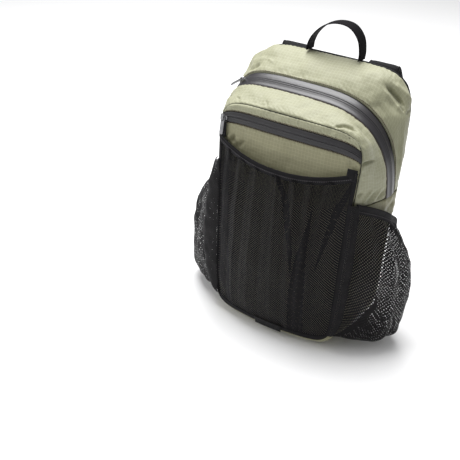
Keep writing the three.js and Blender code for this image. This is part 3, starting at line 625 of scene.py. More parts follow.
PADDING = woven("padding", (0.008, 0.008, 0.009), (0.028, 0.028, 0.031), 0.85, 0.0026,
                share=0.42, depth=0.0008, specular=0.25)
THREAD = woven("thread", (0.075, 0.055, 0.040), (0.11, 0.085, 0.065), 0.6, 0.0006, specular=0.3)
# Painted shade: a near-black strip stands for the shadow at the bottom of the sewn seams.
SEAM_SHADE_PAINT = worn("painted_seam_shade", (0.010, 0.010, 0.006), (0.018, 0.018, 0.010), 0.9, 0.0)
DARK_THREAD = woven("dark_thread", (0.030, 0.028, 0.031), (0.06, 0.056, 0.062), 0.6, 0.0006, specular=0.3)
METAL = worn("zip_metal", (0.24, 0.24, 0.25), (0.36, 0.36, 0.37), 0.34, 1.0)
PLASTIC = worn("adjuster_plastic", (0.010, 0.010, 0.011), (0.018, 0.018, 0.020), 0.45, 0.0)


# The shell

def shell_route(places):
    return [shell(np.array(float(u)), np.array(float(v))) for u, v in places]


# Folds by the places where the camera sees them in its frame, with their width and lift in millimetres.
REAR_SEEN = (
    (((385.5, 85), (392, 91.5), (399, 99.5), (406, 109)), 3.2, -7.5),
    (((391, 82), (399, 88), (408, 97), (411, 107)), 4.6, 3.6),
    (((382, 88), (389, 97), (397, 106), (403, 114)), 3.8, 3.2),
    (((400, 106), (404, 112)), 2.4, -2.6),
    (((406, 116), (409, 112), (411, 109)), 2.6, -3.0),
    (((374, 103), (381, 108), (386, 117)), 5.0, -1.2),
    (((405, 124), (403, 145), (401, 165), (399, 178)), 3.2, 2.2),
    (((401, 122), (399, 145), (398, 170)), 4.0, -1.6),
    (((249, 71), (254, 68), (261, 63.5)), 4.2, -4.4),
    (((250, 62), (258, 60), (268, 58)), 5.0, 1.8),
    (((268, 58), (273, 62)), 2.2, 1.2),
    (((300, 62), (330, 70), (352, 84)), 16.0, 1.0),
    (((372, 93), (380, 104), (386, 120), (391, 137)), 8.0, -1.2),
)
FRONT_SEEN = (
    (((333, 128.5), (337, 126), (345, 125.5), (353, 128), (359, 132.5)), 2.4, -4.2),
    (((334, 130.5), (343, 129.5), (352, 132.5), (358, 138), (362, 146)), 3.4, 2.2),
    (((355, 124), (362, 130), (366, 139)), 3.0, -1.4),
    (((359.5, 167), (364, 163.5), (370, 161.3), (377, 160.2)), 2.4, -4.4),
    (((361, 163), (367, 159.6), (375, 157.5)), 2.8, 2.0),
    (((356, 197.5), (360, 195), (364, 193.5)), 3.0, -2.8),
    (((362, 205), (367, 197.5), (373, 190)), 2.4, 2.2),
    (((366, 206), (371, 198.5), (377, 190)), 2.4, -2.2),
    (((370, 205), (376, 196.5), (382, 188)), 2.4, 2.2),
    (((375, 204.5), (380, 197), (386, 188.5)), 2.4, -2.2),
    (((381, 202), (386, 192.5)), 2.2, 1.8),
    (((228, 95), (231, 97), (236, 99)), 2.0, -2.4),
    (((236, 96), (240, 99.5)), 2.0, -1.6),
    (((266, 100), (267, 105.5)), 1.8, -1.2),
    (((245, 92), (275, 99), (300, 108)), 14.0, 0.9),
    (((362, 176), (372, 174), (382, 178)), 9.0, 1.2),
)
LOW_SEEN = (
    (((381, 209), (388, 202), (394, 193)), 2.6, 2.2),
    (((385, 212), (391, 205), (397, 195)), 2.6, -2.2),
    (((389, 214), (394, 207), (398, 199)), 2.4, 1.8),
    (((374, 206), (380, 203), (386, 198)), 2.4, -1.6),
)
# Folds of the unseen sides, as (u, v) places on the shell.
REAR_FOLDS = (
    (((0.05, 4.75), (0.80, 4.90), (1.70, 5.12)), 5.0, -2.4),
    (((0.20, 5.05), (1.00, 4.95), (1.90, 4.86)), 6.0, 2.0),
    (((0.10, 5.40), (1.00, 5.25), (1.90, 5.30)), 6.0, -2.2),
    (((0.10, 5.75), (1.00, 5.55), (1.95, 5.60)), 7.0, 1.8),
    (((1.00, 5.98), (1.30, 5.80), (1.60, 5.66)), 3.0, -2.0),
    (((0.05, 3.72), (0.90, 3.60), (1.80, 3.50)), 12.0, -1.0),
)
FRONT_FOLDS = (
    (((4.80, 5.10), (4.20, 5.00), (3.60, 4.92)), 5.0, 2.2),
    (((4.90, 5.40), (4.10, 5.30), (3.20, 5.10)), 5.0, -2.0),
    (((4.90, 5.70), (4.10, 5.55), (3.20, 5.60)), 6.0, 1.8),
    (((4.70, 5.98), (4.30, 5.80), (3.90, 5.70)), 3.0, -2.2),
    (((4.20, 5.98), (3.90, 5.84), (3.60, 5.74)), 3.0, 1.8),
)
LOW_FOLDS = (
    (((0.60, 1.99), (1.20, 1.82), (1.80, 1.60)), 5.0, -1.6),
    (((1.40, 1.99), (2.00, 1.80), (2.50, 1.62)), 5.0, 1.6),
    (((1.00, 6.01), (1.60, 6.22), (2.20, 6.40)), 5.0, -1.6),
    (((2.20, 6.01), (2.80, 6.20), (3.40, 6.34)), 5.0, 1.6),
    (((3.40, 6.01), (3.90, 6.16), (4.50, 6.26)), 4.0, -1.4),
)


# Waves of the cloth: height, length in millimetres, and what is added to the seed.
SHELL_WAVES = ((1.1, 75, 0), (0.5, 24, 1), (0.16, 9, 3))
PANEL_WAVES = ((0.6, 60, 0), (0.25, 20, 1), (0.14, 9, 3))
NEAR_FLOOR = 6.0


def cloth(name, points, outward, waves, quiet, folds, seen, finish, nodes, seed):
    """Cloth over a grid, with waves, folds and sewn edges that quieten the folds beside them."""
    normals = grid_normals(points, outward)
    lift = sum(height * soft_noise(points, scale, seed + k) for height, scale, k in waves)
    for places, width, depth in folds:
        lift = lift + fold(points, shell_route(places), width, depth)
    for pixels, width, depth in seen:
        lift = lift + fold(points, seen_at(points, normals, pixels), width, depth)
    gap = seam_edges(points)
    lift = lift * np.clip(gap / quiet, 0.15, 1) + sewn(points, gap, seed=seed + 2)
    lift = np.where(points[..., 2] < NEAR_FLOOR, np.minimum(lift, 0) * 0.2, lift)
    points = points + normals * lift[..., None]
    points[..., 2] = np.maximum(points[..., 2], 0.05)
    normals = grid_normals(points, outward)
    sewn_sheet(name, points, normals, CLOTH_WALL, finish, nodes)
    return points, normals


def shell_cloth(name, low_u, high_u, low_v, high_v, rows, columns, seen, folds, finish, nodes, seed):
    points = lay_grid(shell, np.linspace(low_u, high_u, rows), np.linspace(low_v, high_v, columns))
    return cloth(name, points, away_from_middle(points), SHELL_WAVES, 6, folds, seen, finish, nodes, seed)


rear_points, rear_normals = shell_cloth(
    "rear_cloth", 0.0, 2.0, 2.0, 6.0, 80, 330, REAR_SEEN, REAR_FOLDS, CLOTH,
    ("rear_shell_right", "rear_shell_top", "rear_shell_left"), 11)
front_points, front_normals = shell_cloth(
    "front_cloth", 3.0, 5.0, 2.0, 6.0, 66, 320, FRONT_SEEN, FRONT_FOLDS, CLOTH,
    ("front_shell_right", "front_shell_top", "front_shell_left"), 21)
shell_cloth(
    "lower_cloth", 0.0, 5.0, -2.0, 2.0, 80, 290, LOW_SEEN, LOW_FOLDS, SHADED_CLOTH,
    ("lower_side_right", "bottom_panel", "lower_side_left"), 31)


# The zips

def painted_seam_shade(name, route, normals, width, lift=1.35):
    """A dark strip of painted shade at the bottom of a sewn seam, along the edge of the cloth."""
    along = np.gradient(route, axis=0)
    across = np.cross(along, normals)
    across /= np.linalg.norm(across, axis=1, keepdims=True) + 1e-9
    place = np.linspace(-1, 1, 5)[None, :, None]
    points = (route + normals * lift)[:, None] + across[:, None] * place * width / 2
    whole = np.repeat(normals[:, None], 5, axis=1)
    sheet_piece(name, points, whole, 0.4, SEAM_SHADE_PAINT)


def zip_profile(place, half):
    """How far a zip's tape stands up across its width, where place runs from -1 to 1."""
    off = np.abs(place) * half
    hump = 1.5 * np.exp(-((off / 4.2) ** 2))
    slit = 1.3 * np.exp(-((off / 0.7) ** 2))
    line = 0.3 * np.exp(-(((off - 3.4) / 0.4) ** 2))
    edge = 0.5 * np.exp(-(((half - off) / 1.2) ** 2))
    return hump - slit - line - edge


def main_zip():
    place = np.linspace(-1, 1, 49)
    points = lay_grid(shell, np.linspace(2, 3, 49), np.linspace(2.0, 6.0, 240))
    lift = zip_profile(place, ZIP_TAPE / 2)[:, None] + 0.35 * soft_noise(points, 60, 41)
    points, normals = raised(points, lift + 0.2, away_from_middle(points))
    sewn_sheet("main_zip", points, normals, 1.3, TAPE,
               ("main_zip_right", "main_zip_top", "main_zip_left"))


main_zip()
stitches("main_zip_stitches_rear", rear_points[-4], rear_normals[-4], THREAD)
stitches("main_zip_stitches_front", front_points[3], front_normals[3], THREAD)
# Strips of painted shade in the seam at the front panel's edge and in the seams at the ends of both shells.
seam_facing = front_normals[-1] + FORWARD
seam_facing /= np.linalg.norm(seam_facing, axis=1, keepdims=True)
painted_seam_shade("front_seam", front_points[-1], seam_facing, width=4.4, lift=2.1)
SHELLS = (("rear", rear_points, rear_normals), ("front", front_points, front_normals))
for seam_name, seam_points, seam_normals in SHELLS:
    for side_name, column in (("right", 0), ("left", -1)):
        painted_seam_shade(f"{seam_name}_seam_{side_name}", seam_points[:, column], seam_normals[:, column],
                    width=2.0)


# The front panel and its zip

ZIP_LOW = level_on_front(POCKET_ZIP_LEVEL - POCKET_ZIP_TAPE / 2, 0.0)
ZIP_HIGH = level_on_front(POCKET_ZIP_LEVEL + POCKET_ZIP_TAPE / 2, 0.0)
PANEL_SEEN = (
    (((234, 134), (233, 139), (233, 143)), 3.2, -3.6),
    (((229, 134), (229, 141)), 2.6, 1.6),
    (((237, 137), (237, 144)), 2.6, 1.6),
    (((244, 140), (241, 144), (239, 148)), 3.0, -2.6),
    (((240, 131), (262, 145), (290, 158)), 9.0, 1.2),
    (((262, 152), (290, 163), (320, 168)), 8.0, -1.4),
    (((352, 161), (349, 168)), 4.0, -1.6),
    (((333, 133), (336, 137)), 2.6, 1.6),
    (((340, 134), (346, 138), (352, 141)), 4.0, -1.4),
    (((222, 103), (236, 103), (262, 112)), 5.0, 1.4),
)


def panel_face(b, a):
    return front_face(a, b, 0.0)


def front_cloth_panel(name, low, high, rows, finish, nodes, seed):
    points = lay_grid(panel_face, np.linspace(low, high, rows), np.linspace(-1, 1, 150))
    return cloth(name, points, FORWARD, PANEL_WAVES, 5, (), PANEL_SEEN, finish, nodes, seed)


top_points, top_normals = front_cloth_panel(
    "front_strip", ZIP_HIGH, 1.0, 14, CLOTH, ("front_panel_upper",), 51)
panel_points, panel_normals = front_cloth_panel(
    "front_panel", -1.0, ZIP_LOW, 130, SHADED_CLOTH, ("front_panel_lower",), 61)


def pocket_zip():
    place = np.linspace(-1, 1, 41)
    points = lay_grid(panel_face, np.linspace(ZIP_LOW, ZIP_HIGH, 41), np.linspace(-1, 1, 150))
    lift = zip_profile(place, POCKET_ZIP_TAPE / 2)[:, None] + 0.25 * soft_noise(points, 50, 71)
    ends = np.clip(seam_edges(points, rows=(False, False)) / 4, 0, 1)
    points, normals = raised(points, (lift + 0.2) * ends - 1.4 * (1 - ends), FORWARD)
    sewn_sheet("front_pocket_zip", points, normals, 1.2, POCKET_TAPE, ("pocket_zip",))


pocket_zip()
stitches("pocket_zip_stitches_upper", top_points[2, 3:-3], top_normals[2, 3:-3], THREAD)
stitches("pocket_zip_stitches_lower", panel_points[-2, 3:-3], panel_normals[-2, 3:-3], THREAD)


# The nets

def sample(points, p, q):
    """Points of a grid at fractions p and q of its two axes."""
    rows, columns = points.shape[:2]
    x, y = np.clip(p, 0, 1) * (rows - 1), np.clip(q, 0, 1) * (columns - 1)
    i, j = np.minimum(x.astype(int), rows - 2), np.minimum(y.astype(int), columns - 2)
    s, t = (x - i)[:, None], (y - j)[:, None]
    return ((points[i, j] * (1 - s) + points[i + 1, j] * s) * (1 - t)
            + (points[i, j + 1] * (1 - s) + points[i + 1, j + 1] * s) * t)


def net(name, points, pitch, open_share, nodes):
    """An open net over a grid of points: each diamond cell is a ring of four flat threads."""
    s, t = grid_lengths(points)
    rows = 2 * int(s[-1].mean() / pitch)
    columns = int(t[:, -1].mean() / pitch)
    i, j = np.meshgrid(np.arange(1, rows), np.arange(columns + 1), indexing="ij")
    i, j = i.ravel(), j.ravel()
    middle = np.stack([i / rows, (j + 0.5 * (i % 2)) / columns], -1)
    inside = (middle[:, 1] > 0.4 / columns) & (middle[:, 1] < 1 - 0.4 / columns)
    middle = middle[inside]
    reach = np.array([[1, 0], [0, 1], [-1, 0], [0, -1]]) * np.array([1 / rows, 0.5 / columns])
    corners = middle[:, None] + reach[None]
    holes = middle[:, None] + reach[None] * math.sqrt(open_share)
    key = np.round(corners.reshape(-1, 2) * np.array([rows, 2 * columns])).astype(int)
    shared, index = np.unique(key, axis=0, return_inverse=True)
    index = index.reshape(-1, 4)
    outer = shared / np.array([rows, 2 * columns])
    places = np.vstack([outer, holes.reshape(-1, 2)])
    vertices = sample(points, places[:, 0], places[:, 1])
    first = len(outer) + 4 * np.arange(len(middle))
    faces = np.concatenate([
        np.stack([index[:, k], index[:, (k + 1) % 4], first + (k + 1) % 4, first + k], -1) for k in range(4)
    ])
    a, b, c = (vertices[faces[:, k]] for k in range(3))
    want = grid_normals(points, away_from_middle(points))
    mid = want[want.shape[0] // 2, want.shape[1] // 2]
    centre = np.argmin(np.abs(places - 0.5).sum(1))
    near = np.argmin(np.abs(faces - centre).min(1))
    if np.cross(b[near] - a[near], c[near] - a[near]) @ mid < 0:
        faces = faces[:, ::-1]
    size = np.array([s[-1].mean(), t[:, -1].mean()])
    thing = make_object(name, vertices, faces, (places * size)[:, ::-1])
    thing.data.materials.append(NET)
    settle(thing, nodes)
    declare_sheet(thing, points, share=1 - open_share)


def edge_tape(name, points, normals, width, wall, parts=("foot", "start", "end")):
    """A flat tape over the side and foot edges of a net's grid."""
    s, t = grid_lengths(points)
    rows, columns = points.shape[:2]
    deep_row = int(np.searchsorted(s[:, columns // 2], width)) + 1
    deep_column = int(np.searchsorted(t[rows // 2], width)) + 1
    spans = {
        "foot": (slice(0, deep_row + 1), slice(0, columns)),
        "start": (slice(0, rows), slice(0, deep_column + 1)),
        "end": (slice(0, rows), slice(columns - 1 - deep_column, columns)),
    }
    for part in parts:
        r, c = spans[part]
        lifted = points[r, c] + normals[r, c] * 0.5
        sewn_sheet(f"{name}_{part}", lifted, normals[r, c], wall, BINDING)


def front_net_points(wall, rows=110, columns=130):
    points = lay_grid(lambda up, a: front_pocket_face(up, a, wall), np.linspace(0, 1, rows),
                      np.linspace(-POCKET_REACH, POCKET_REACH, columns))
    up, a = np.meshgrid(np.linspace(0, 1, rows), np.linspace(-1, 1, columns), indexing="ij")
    lift = np.zeros_like(up)
    for middle, lean, width, depth in FRONT_PLEATS:
        off = a - middle - lean * (1 - up)
        lift += depth * np.exp(-((off / width) ** 2)) * (0.25 + 0.75 * np.clip(up, 0, 1) ** 1.5)
    gathers = np.sin(2 * np.pi * (a * 8.3 + 0.45 * np.sin(a * 9.0)))
    lift += 2.4 * gathers * np.exp(-(1 - np.clip(up, 0, 1)) / 0.11) * np.clip((1 - up) / 0.02, 0.2, 1)
    lift += 0.9 * soft_noise(points, 55, 81)
    edge = np.clip(seam_edges(points, rows=(True, False)) / 14, 0, 1)
    return points + FORWARD * (lift * edge)[..., None]


# Vertical pleats of the front net: place at the mouth, lean, width, lift in millimetres.
FRONT_PLEATS = (
    (-0.90, -0.05, 0.035, -3.5), (-0.80, -0.08, 0.03, 3.0), (-0.66, -0.12, 0.04, -5.0),
    (-0.56, -0.08, 0.03, 4.4), (-0.44, -0.08, 0.04, -3.4), (-0.30, -0.04, 0.035, 3.4),
    (-0.16, 0.02, 0.05, -4.6), (0.00, 0.10, 0.035, 3.6), (0.14, 0.12, 0.045, -5.2),
    (0.26, 0.10, 0.03, 4.6), (0.36, 0.08, 0.035, -4.4), (0.48, 0.02, 0.03, 4.6),
    (0.58, -0.06, 0.04, -5.0), (0.70, -0.12, 0.03, 4.2), (0.82, -0.14, 0.035, -3.6),
)

front_net = front_net_points(NET_WALL)
net("front_net", front_net, 3.6, 0.135, ("front_mesh_pocket",))
edge_tape("front_net_tape", front_net, grid_normals(front_net, FORWARD), 4.0, 0.9)


def net_fold(name, sides, share):
    """A fold of the front net, doubled behind it, that shows as a darker band between two sides.

    Each row of the sides holds a height and where the band begins and ends there.
    """
    sides = np.array(sides)

    def face(up, q):
        return front_pocket_face(up, mix(along_table(sides, 1, up), along_table(sides, 2, up), q), -2.2)

    points = lay_grid(face, np.linspace(sides[0, 0], sides[-1, 0], 70), np.linspace(0, 1, 24))
    points = points + FORWARD * (0.6 * soft_noise(points, 40, 85))[..., None]
    net(name, points, 3.1, share, ())


net_fold("net_fold_left", (
    (0.01, -0.97, -0.68), (0.30, -0.97, -0.70), (0.60, -0.96, -0.76), (0.80, -0.90, -0.80),
    (0.97, -0.84, -0.78)), 0.08)
net_fold("net_fold_middle", (
    (0.01, 0.33, 0.60), (0.25, 0.335, 0.57), (0.45, 0.38, 0.54), (0.60, 0.46, 0.53),
    (0.72, 0.52, 0.53)), 0.07)
net_fold("net_fold_centre", (
    (0.36, 0.345, 0.355), (0.50, 0.26, 0.34), (0.65, 0.16, 0.27), (0.82, 0.05, 0.16),
    (0.97, -0.08, 0.02)), 0.10)
net_fold("net_fold_right", (
    (0.40, 0.66, 0.67), (0.55, 0.70, 0.78), (0.72, 0.78, 0.90), (0.88, 0.88, 0.95),
    (0.97, 0.92, 0.96)), 0.09)


def side_net(name, side):
    rows, columns = 110, 110
    along = 0.5 - 0.5 * np.cos(np.linspace(0, np.pi, columns)) * 0.9995
    points = lay_grid(lambda up, at: side_pocket_face(side, up, at, NET_WALL), np.linspace(0, 1, rows), along)
    outward = np.array([float(side), 0.0, 0.0])
    normals = grid_normals(points, outward)
    up, at = np.meshgrid(np.linspace(0, 1, rows), along, indexing="ij")
    lift = 1.8 * soft_noise(points, 60, 91 + side) + 0.8 * soft_noise(points, 24, 95 + side)
    for middle, lean, width, depth in SIDE_PLEATS:
        lift += depth * np.exp(-(((at - middle - lean * (1 - up)) / width) ** 2)) * (0.25 + 0.75 * up**1.5)
    edge = np.clip(seam_edges(points) / 14, 0, 1)
    points = points + normals * (lift * edge)[..., None]
    parts = [f"side_mesh_{name}_{part}_{level}"
             for part in ("front", "middle", "back") for level in ("low", "high")]
    net(f"side_net_{name}", points, 4.3, 0.20 if side > 0 else 0.14, parts)
    edge_tape(f"side_net_tape_{name}", points, grid_normals(points, outward), 4.0, 0.9, ("foot", "start"))
    corner_net(name, side, 7.0 if side > 0 else 17.0)


def corner_net(name, side, bulge):
    """The net that turns from the front pocket round the bag's front corner to a side pocket."""
    level = np.linspace(CORNER_FOOT, SIDE_MOUTH_FRONT + (SIDE_BINDING if side > 0 else 18), 90)
    a = side * CORNER_SHARE * np.ones_like(level)
    share = np.where(level > SIDE_SEAM, level_on_front(level, a),
                     (level - SIDE_SEAM) / (SIDE_SEAM - FRONT_RING[FOOT]) / 0.995)
    inner = front_face(a, share, 4.4)
    outer = side_shell(side, np.full_like(level, CORNER_U), level)
    swell = bulge * np.sin(np.pi * np.linspace(0, 1, 90) ** 0.85) ** 0.7
    outer[:, 0] += side * (4.6 + swell)
    corner = np.stack([outer[:, 0] + side * 0.8 * swell, inner[:, 1] - 0.3 * swell,
                       (inner[:, 2] + outer[:, 2]) / 2], -1)
    t = np.linspace(0, 1, 19)[None, :, None]
    points = (inner[:, None] * (1 - t) ** 2 + corner[:, None] * 2 * t * (1 - t) + outer[:, None] * t**2)
    forward = np.array([side, -1.0, 0.0]) / math.sqrt(2)
    points = points + 0.9 * soft_noise(points, 26, 121 + side)[..., None] * forward
    net(f"corner_net_{name}", points, 3.0, 0.035, ())
    edge = points[:, -4:] + forward * 0.6
    sewn_sheet(f"corner_tape_{name}", edge, grid_normals(edge, forward), 0.8, BINDING)


# Pleats of a side net: place at the mouth from front to back, lean, width, lift in millimetres.
SIDE_PLEATS = (
    (0.10, 0.04, 0.022, 2.6), (0.17, 0.05, 0.03, -4.0), (0.25, 0.06, 0.025, 3.2), (0.33, 0.04, 0.035, -4.2),
    (0.43, 0.03, 0.03, 3.0), (0.53, 0.00, 0.035, -4.0), (0.62, -0.02, 0.03, 3.2), (0.72, -0.04, 0.03, -3.4),
    (0.82, -0.04, 0.025, 2.4), (0.90, -0.03, 0.02, -2.0),
)

for side_name, side_sign in SIDES:
    side_net(side_name, side_sign)


def binding(name, face, low, high, columns, outward, nodes):
    """A folded tape over a pocket's mouth, rounded across, with a row of stitches near its lower edge."""
    place = np.linspace(-1, 1, 17)
    points = lay_grid(face, mix(low, high, (place + 1) / 2), columns)
    round_off = 1.1 * (1 - np.abs(place) ** 6) - 1.1 - 0.45 * np.exp(-(((place + 0.72) / 0.06) ** 2))
    lift = round_off[:, None] + 0.3 * soft_noise(points, 26, len(name))
    points, normals = raised(points, lift, outward)
    sewn_sheet(name, points, normals, BINDING_WALL * 0.8, BINDING, nodes)
    row = 3
    stitches(f"{name}_stitches", points[row, 2:-2], normals[row, 2:-2], DARK_THREAD)


binding("front_binding", lambda up, a: front_pocket_face(up, a, BINDING_WALL), 0.97, 2.0,
        np.linspace(-POCKET_REACH, POCKET_REACH, 130), FORWARD, ("front_pocket_binding",))
for side_name, side_sign in SIDES:
    binding(f"side_mouth_{side_name}",
            lambda up, at, side=side_sign: side_pocket_face(side, up, at, BINDING_WALL), 0.99, 2.0,
            0.5 - 0.5 * np.cos(np.linspace(0, np.pi, 90)) * 0.999,
            np.array([float(side_sign), 0.0, 0.0]), (f"side_binding_{side_name}",))


# Small sewn tabs

def tab(name, from_a, to_a, low, high, standoff, bow=1.2, wall=1.6):
    """A folded end of binding sewn to the front panel, with rounded edges and a bowed middle."""
    p, q = np.meshgrid(np.linspace(0, 1, 22), np.linspace(0, 1, 18), indexing="ij")
    a, z = mix(from_a, to_a, q), mix(low, high, p)
    points = front_face(a, level_on_front(z, a), standoff)
    normals = grid_normals(points, FORWARD)
    gap = seam_edges(points)
    lift = bow * np.sin(np.pi * p) * np.sin(np.pi * q) - 0.8 * np.clip(1 - gap / 1.4, 0, 1) ** 2
    points = points + normals * lift[..., None]
    sewn_sheet(name, points, grid_normals(points, FORWARD), wall, BINDING)
    for side, column in (("start", 2), ("end", -3)):
        stitches(f"{name}_stitches_{side}", points[2:-2, column], normals[2:-2, column], DARK_THREAD,
                 pitch=2.4, length=1.7, radius=0.25, lift=0.2)


tab("left_tab", -0.955, -0.880, 318, 340, 4.6)
tab("right_tab", 0.855, 0.985, 308, 326, 4.9, bow=2.2)


def front_label():
    lo, hi = (np.array(c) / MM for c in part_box("front_label"))
    rows, columns = np.linspace(lo[2] + 0.3, hi[2] - 0.3, 16), np.linspace(lo[0] + 0.3, hi[0] - 0.3, 40)

    def face(z, x):
        b = (z - SIDE_SEAM) / (SIDE_SEAM - FRONT_RING[FOOT])
        a = x / FRONT_RING[FOOT_HALF]
        up = (b - POCKET_FOOT) / (level_on_front(FRONT_MOUTH_MIDDLE, 0.0) - POCKET_FOOT)
        return front_pocket_face(up, a, NET_WALL + LABEL_STANDOFF)

    points = lay_grid(face, rows, columns)
    normals = grid_normals(points, FORWARD)
    gap = seam_edges(points)
    points = points + normals * (-0.5 * np.clip(1 - gap / 1.5, 0, 1) ** 2)[..., None]
    sewn_sheet("plain_label", points, normals, 0.9, LABEL, ("front_label",))
    for k, row in enumerate((2, -3)):
        stitches(f"plain_label_stitches_{k}", points[row, 2:-2], normals[row, 2:-2], DARK_THREAD,
                 pitch=2.4, length=1.7, radius=0.2)


front_label()


# Webbing and straps

def webbing(name, route, across, width, nodes):
    edge = np.abs(np.linspace(-1, 1, 13)) ** 8
    points, normals, *_ = band_grid(route, across, width, WEBBING_WALL, len(edge))
    points = points - normals * (0.35 * edge * WEBBING_WALL)[None, :, None]
    wall = WEBBING_WALL * (1 - 0.5 * edge)[None, :] * np.ones((len(route), 1))
    sewn_sheet(name, points, normals, wall, WEBBING, nodes)


def haul_loop():
    route = smooth_curve([(x * HALF_WIDTH, ROWS[0][Y_TOP] + y * BAG_DEPTH, z * BAG_HEIGHT + SEAM_GAP)
                          for x, y, z in LOOP_ROUTE], 120)
    webbing("carry_loop", route, (0, 1, 0), LOOP_WIDTH, ("haul_loop",))


haul_loop()


def back_level(z):
    above = z > SIDE_SEAM
    reach = (BACK_RING[TOP] - SIDE_SEAM) if above else (SIDE_SEAM - BACK_RING[FOOT])
    end = BACK_RING[Y_TOP] if above else BACK_RING[Y_FOOT]
    return mix(BACK_RING[Y_SIDE], end, abs(z - SIDE_SEAM) / reach) + SEAM_GAP + BACK_PADDING


def route_point(share, side, wall):
    x, y, z = share
    height = z * BAG_HEIGHT
    return np.array([side * x * HALF_WIDTH, back_level(height) + SEAM_GAP + wall / 2 + y * BAG_DEPTH, height])


def shoulder_strap(name, side):
    route = smooth_curve([route_point(s, side, STRAP_WALL) for s in STRAP_ROUTE], 90)
    place = np.linspace(0, 1, 90)
    width = STRAP_WIDTH * (1 - STRAP_TAPER * place**2)
    *_, tangent, wide, out = band_grid(route, (1, 0, 0), width, STRAP_WALL)
    turn = np.linspace(0, 2 * np.pi, 36, endpoint=False)
    section_x = np.sign(np.cos(turn)) * np.abs(np.cos(turn)) ** 0.45
    section_y = np.sign(np.sin(turn)) * np.abs(np.sin(turn)) ** 0.75
    ends = np.clip(np.minimum(place, 1 - place) / 0.03, 0.35, 1) ** 0.5
    reach = section_x[None] * (width / 2)[:, None]
    points = (route[:, None] + wide[:, None] * reach[..., None]
              + out[:, None] * (section_y[None] * STRAP_HALF * ends[:, None])[..., None])
    rows, columns = points.shape[:2]
    at = np.arange(rows - 1)[:, None] * columns + np.arange(columns)[None]
    after = np.arange(rows - 1)[:, None] * columns + (np.arange(columns)[None] + 1) % columns
    faces = np.stack([at, after, after + columns, at + columns], -1).reshape(-1, 4).tolist()
    faces.append(list(range(columns))[::-1])
    faces.append([(rows - 1) * columns + k for k in range(columns)])
    if np.cross(points[0, 1] - points[0, 0], points[1, 0] - points[0, 0]) @ (points[0, 0] - route[0]) < 0:
        faces = [f[::-1] for f in faces]
    run = np.concatenate([[0], np.cumsum(np.linalg.norm(np.diff(route, axis=0), axis=1))])
    uvs = np.stack(np.broadcast_arrays(reach, run[:, None]), -1).reshape(-1, 2)
    piece = make_object(f"padded_strap_{name}", points.reshape(-1, 3), faces, uvs)
    piece.data.materials.append(PADDING)
    settle(piece, (f"shoulder_strap_{name}",))
    for k, edge in enumerate((-1, 1)):
        rim = route + wide * (edge * (width / 2 - 1.0))[:, None]
        around = np.linspace(-1.9, 1.9, 13)
        rim_points = (rim[:, None] + wide[:, None] * (edge * 1.9 * np.cos(around))[None, :, None]
                      + out[:, None] * (3.6 * np.sin(around))[None, :, None])
        rim_normals = (wide[:, None] * (edge * np.cos(around))[None, :, None]
                       + out[:, None] * np.sin(around)[None, :, None])
        sewn_sheet(f"strap_edge_{name}_{k}", rim_points[2:-2], rim_normals[2:-2], 0.8, BINDING)
    return route, tangent


def strap_foot(name, side, route, tangent):
    down = tangent[-1]
    start = route[-1] + down * (ADJUSTER_LENGTH + 2 * SEAM_GAP)
    landing = [route_point(s, side, WEBBING_WALL) for s in WEBBING_ROUTE]
    low = smooth_curve([start, start + down * 10, *landing], 70)
    webbing(f"lower_webbing_{name}", low, (1, 0, 0), LOWER_WIDTH, (f"strap_webbing_{name}",))


def bevelled(node, name, finish, body, width):
    """A detailed copy of a CAD node with rounded edges."""
    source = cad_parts[node]
    source = source if isinstance(source, bpy.types.Object) else bpy.data.objects[source]
    mesh = source.data.copy()
    mesh.transform(source.matrix_world)
    mesh.materials.clear()
    mesh.materials.append(finish)
    thing = bpy.data.objects.new(name, mesh)
    bpy.context.scene.collection.objects.link(thing)
    rounding = thing.modifiers.new("round", "BEVEL")
    rounding.width = width * MM
    rounding.segments = 3
    rounding.limit_method = "ANGLE"
    rounding.angle_limit = math.radians(25)
    mesh.polygons.foreach_set("use_smooth", [True] * len(mesh.polygons))
    return settle(thing, (node,), body)


# The back's two quilted pads in millimetres: their places, the slope at their edges, and the channels
# across them.
PAD_MIDDLE, PAD_HALF, PAD_FOOT, PAD_TOP, PAD_SLOPE, PAD_LIFT = 46, 34, 45, 392, 14, 3.6
CHANNEL_START, CHANNEL_PITCH, CHANNEL_HALF = 60, 82, 4.0
WEBBING_PLACE = 110  # the back stays low here, under the webbing


def back_panel():
    points = lay_grid(lambda b, a: end_panel(BACK_RING, a, b, 0.0), np.linspace(-1, 1, 150),
                      np.linspace(-1, 1, 110)) + np.array([0, SEAM_GAP + BACK_PADDING, 0])
    x, z = points[..., 0], points[..., 2]
    pad = np.clip((np.abs(np.abs(x) - PAD_MIDDLE) - PAD_HALF) / -8, 0, 1)
    pad = pad * np.clip((z - PAD_FOOT) / PAD_SLOPE, 0, 1) * np.clip((PAD_TOP - z) / PAD_SLOPE, 0, 1)
    pad = pad * pad * (3 - 2 * pad)
    across = np.mod(z - CHANNEL_START, CHANNEL_PITCH) - CHANNEL_PITCH / 2
    channel = np.exp(-((across / CHANNEL_HALF) ** 2)) * (pad > 0.02)
    lift = PAD_LIFT * pad * (1 - 0.75 * channel) + 0.3 * soft_noise(points, 50, 111)
    gap = seam_edges(points)
    lift = lift * np.clip(gap / 8, 0, 1) - 1.6 * np.clip(1 - gap / 4, 0, 1) ** 2
    quiet = np.clip((np.abs(np.abs(x) - WEBBING_PLACE) - 4) / 10, 0, 1)
    lift = np.minimum(lift, 0.0) + np.maximum(lift, 0.0) * np.maximum(quiet, z < 30)
    points, normals = raised(points, lift, -FORWARD)
    piece = sheet_piece("padded_back", points, normals, 4.0, PADDING, ("back_panel",))


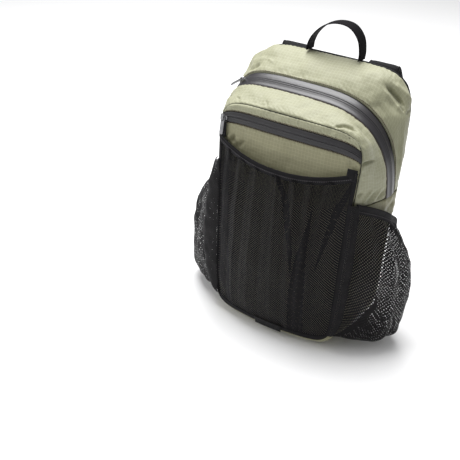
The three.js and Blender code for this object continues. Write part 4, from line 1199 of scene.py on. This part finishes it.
back_panel()
for side_name, side_sign in SIDES:
    strap_foot(side_name, side_sign, *shoulder_strap(side_name, side_sign))
    bevelled(f"strap_adjuster_{side_name}", f"ladder_adjuster_{side_name}", PLASTIC,
             "bag", 0.9)
for zip_name in ("main", "pocket"):
    bevelled(f"{zip_name}_slider", f"{zip_name}_zip_slider", METAL, "bag", 0.35)
    bevelled(f"{zip_name}_pull", f"{zip_name}_zip_pull", METAL, f"{zip_name}_pull", 0.3)


# Floor, light and camera

def stage():
    material, tree, shader = node_material("floor", (0.93, 0.93, 0.935), 0.8)
    tone = blended(tree, speckled(tree, 2.0), (0.92, 0.92, 0.925, 1), (0.94, 0.94, 0.945, 1))
    tree.links.new(tone, shader.inputs["Base Color"])
    bpy.ops.mesh.primitive_plane_add(size=30, location=(0, 0, 0))
    floor = bpy.context.object
    floor.name = "floor"
    floor.data.materials.append(material)


def area_light(name, place, target, size, power):
    data = bpy.data.lights.new(name, "AREA")
    data.shape = "SQUARE"
    data.size = size
    data.energy = power
    lamp = bpy.data.objects.new(name, data)
    lamp.location = place
    lamp.rotation_euler = (Vector(target) - Vector(place)).to_track_quat("-Z", "Y").to_euler()
    bpy.context.scene.collection.objects.link(lamp)


def lights():
    world = bpy.data.worlds.new("studio")
    world.use_nodes = True
    world.node_tree.nodes["Background"].inputs[0].default_value = (1.0, 1.0, 1.0, 1)
    world.node_tree.nodes["Background"].inputs[1].default_value = 0.40
    bpy.context.scene.world = world
    area_light("key", (-0.42, 0.36, 2.15), (0, 0, 0.2), 1.5, 76)
    area_light("front", (-1.9, -1.7, 1.4), (0, 0, 0.2), 1.6, 21)


def camera():
    data = bpy.data.cameras.new("camera")
    data.sensor_width = SENSOR
    data.lens = FOCAL / FRAME * SENSOR
    eye = bpy.data.objects.new("camera", data)
    turn = Matrix([Vector(way) for way in (ACROSS, ABOVE, BACK)]).transposed().to_4x4()
    eye.matrix_world = Matrix.Translation(Vector(EYE * MM)) @ turn
    bpy.context.scene.collection.objects.link(eye)
    bpy.context.scene.camera = eye


stage()
lights()
camera()
bpy.context.scene.view_settings.view_transform = "Standard"
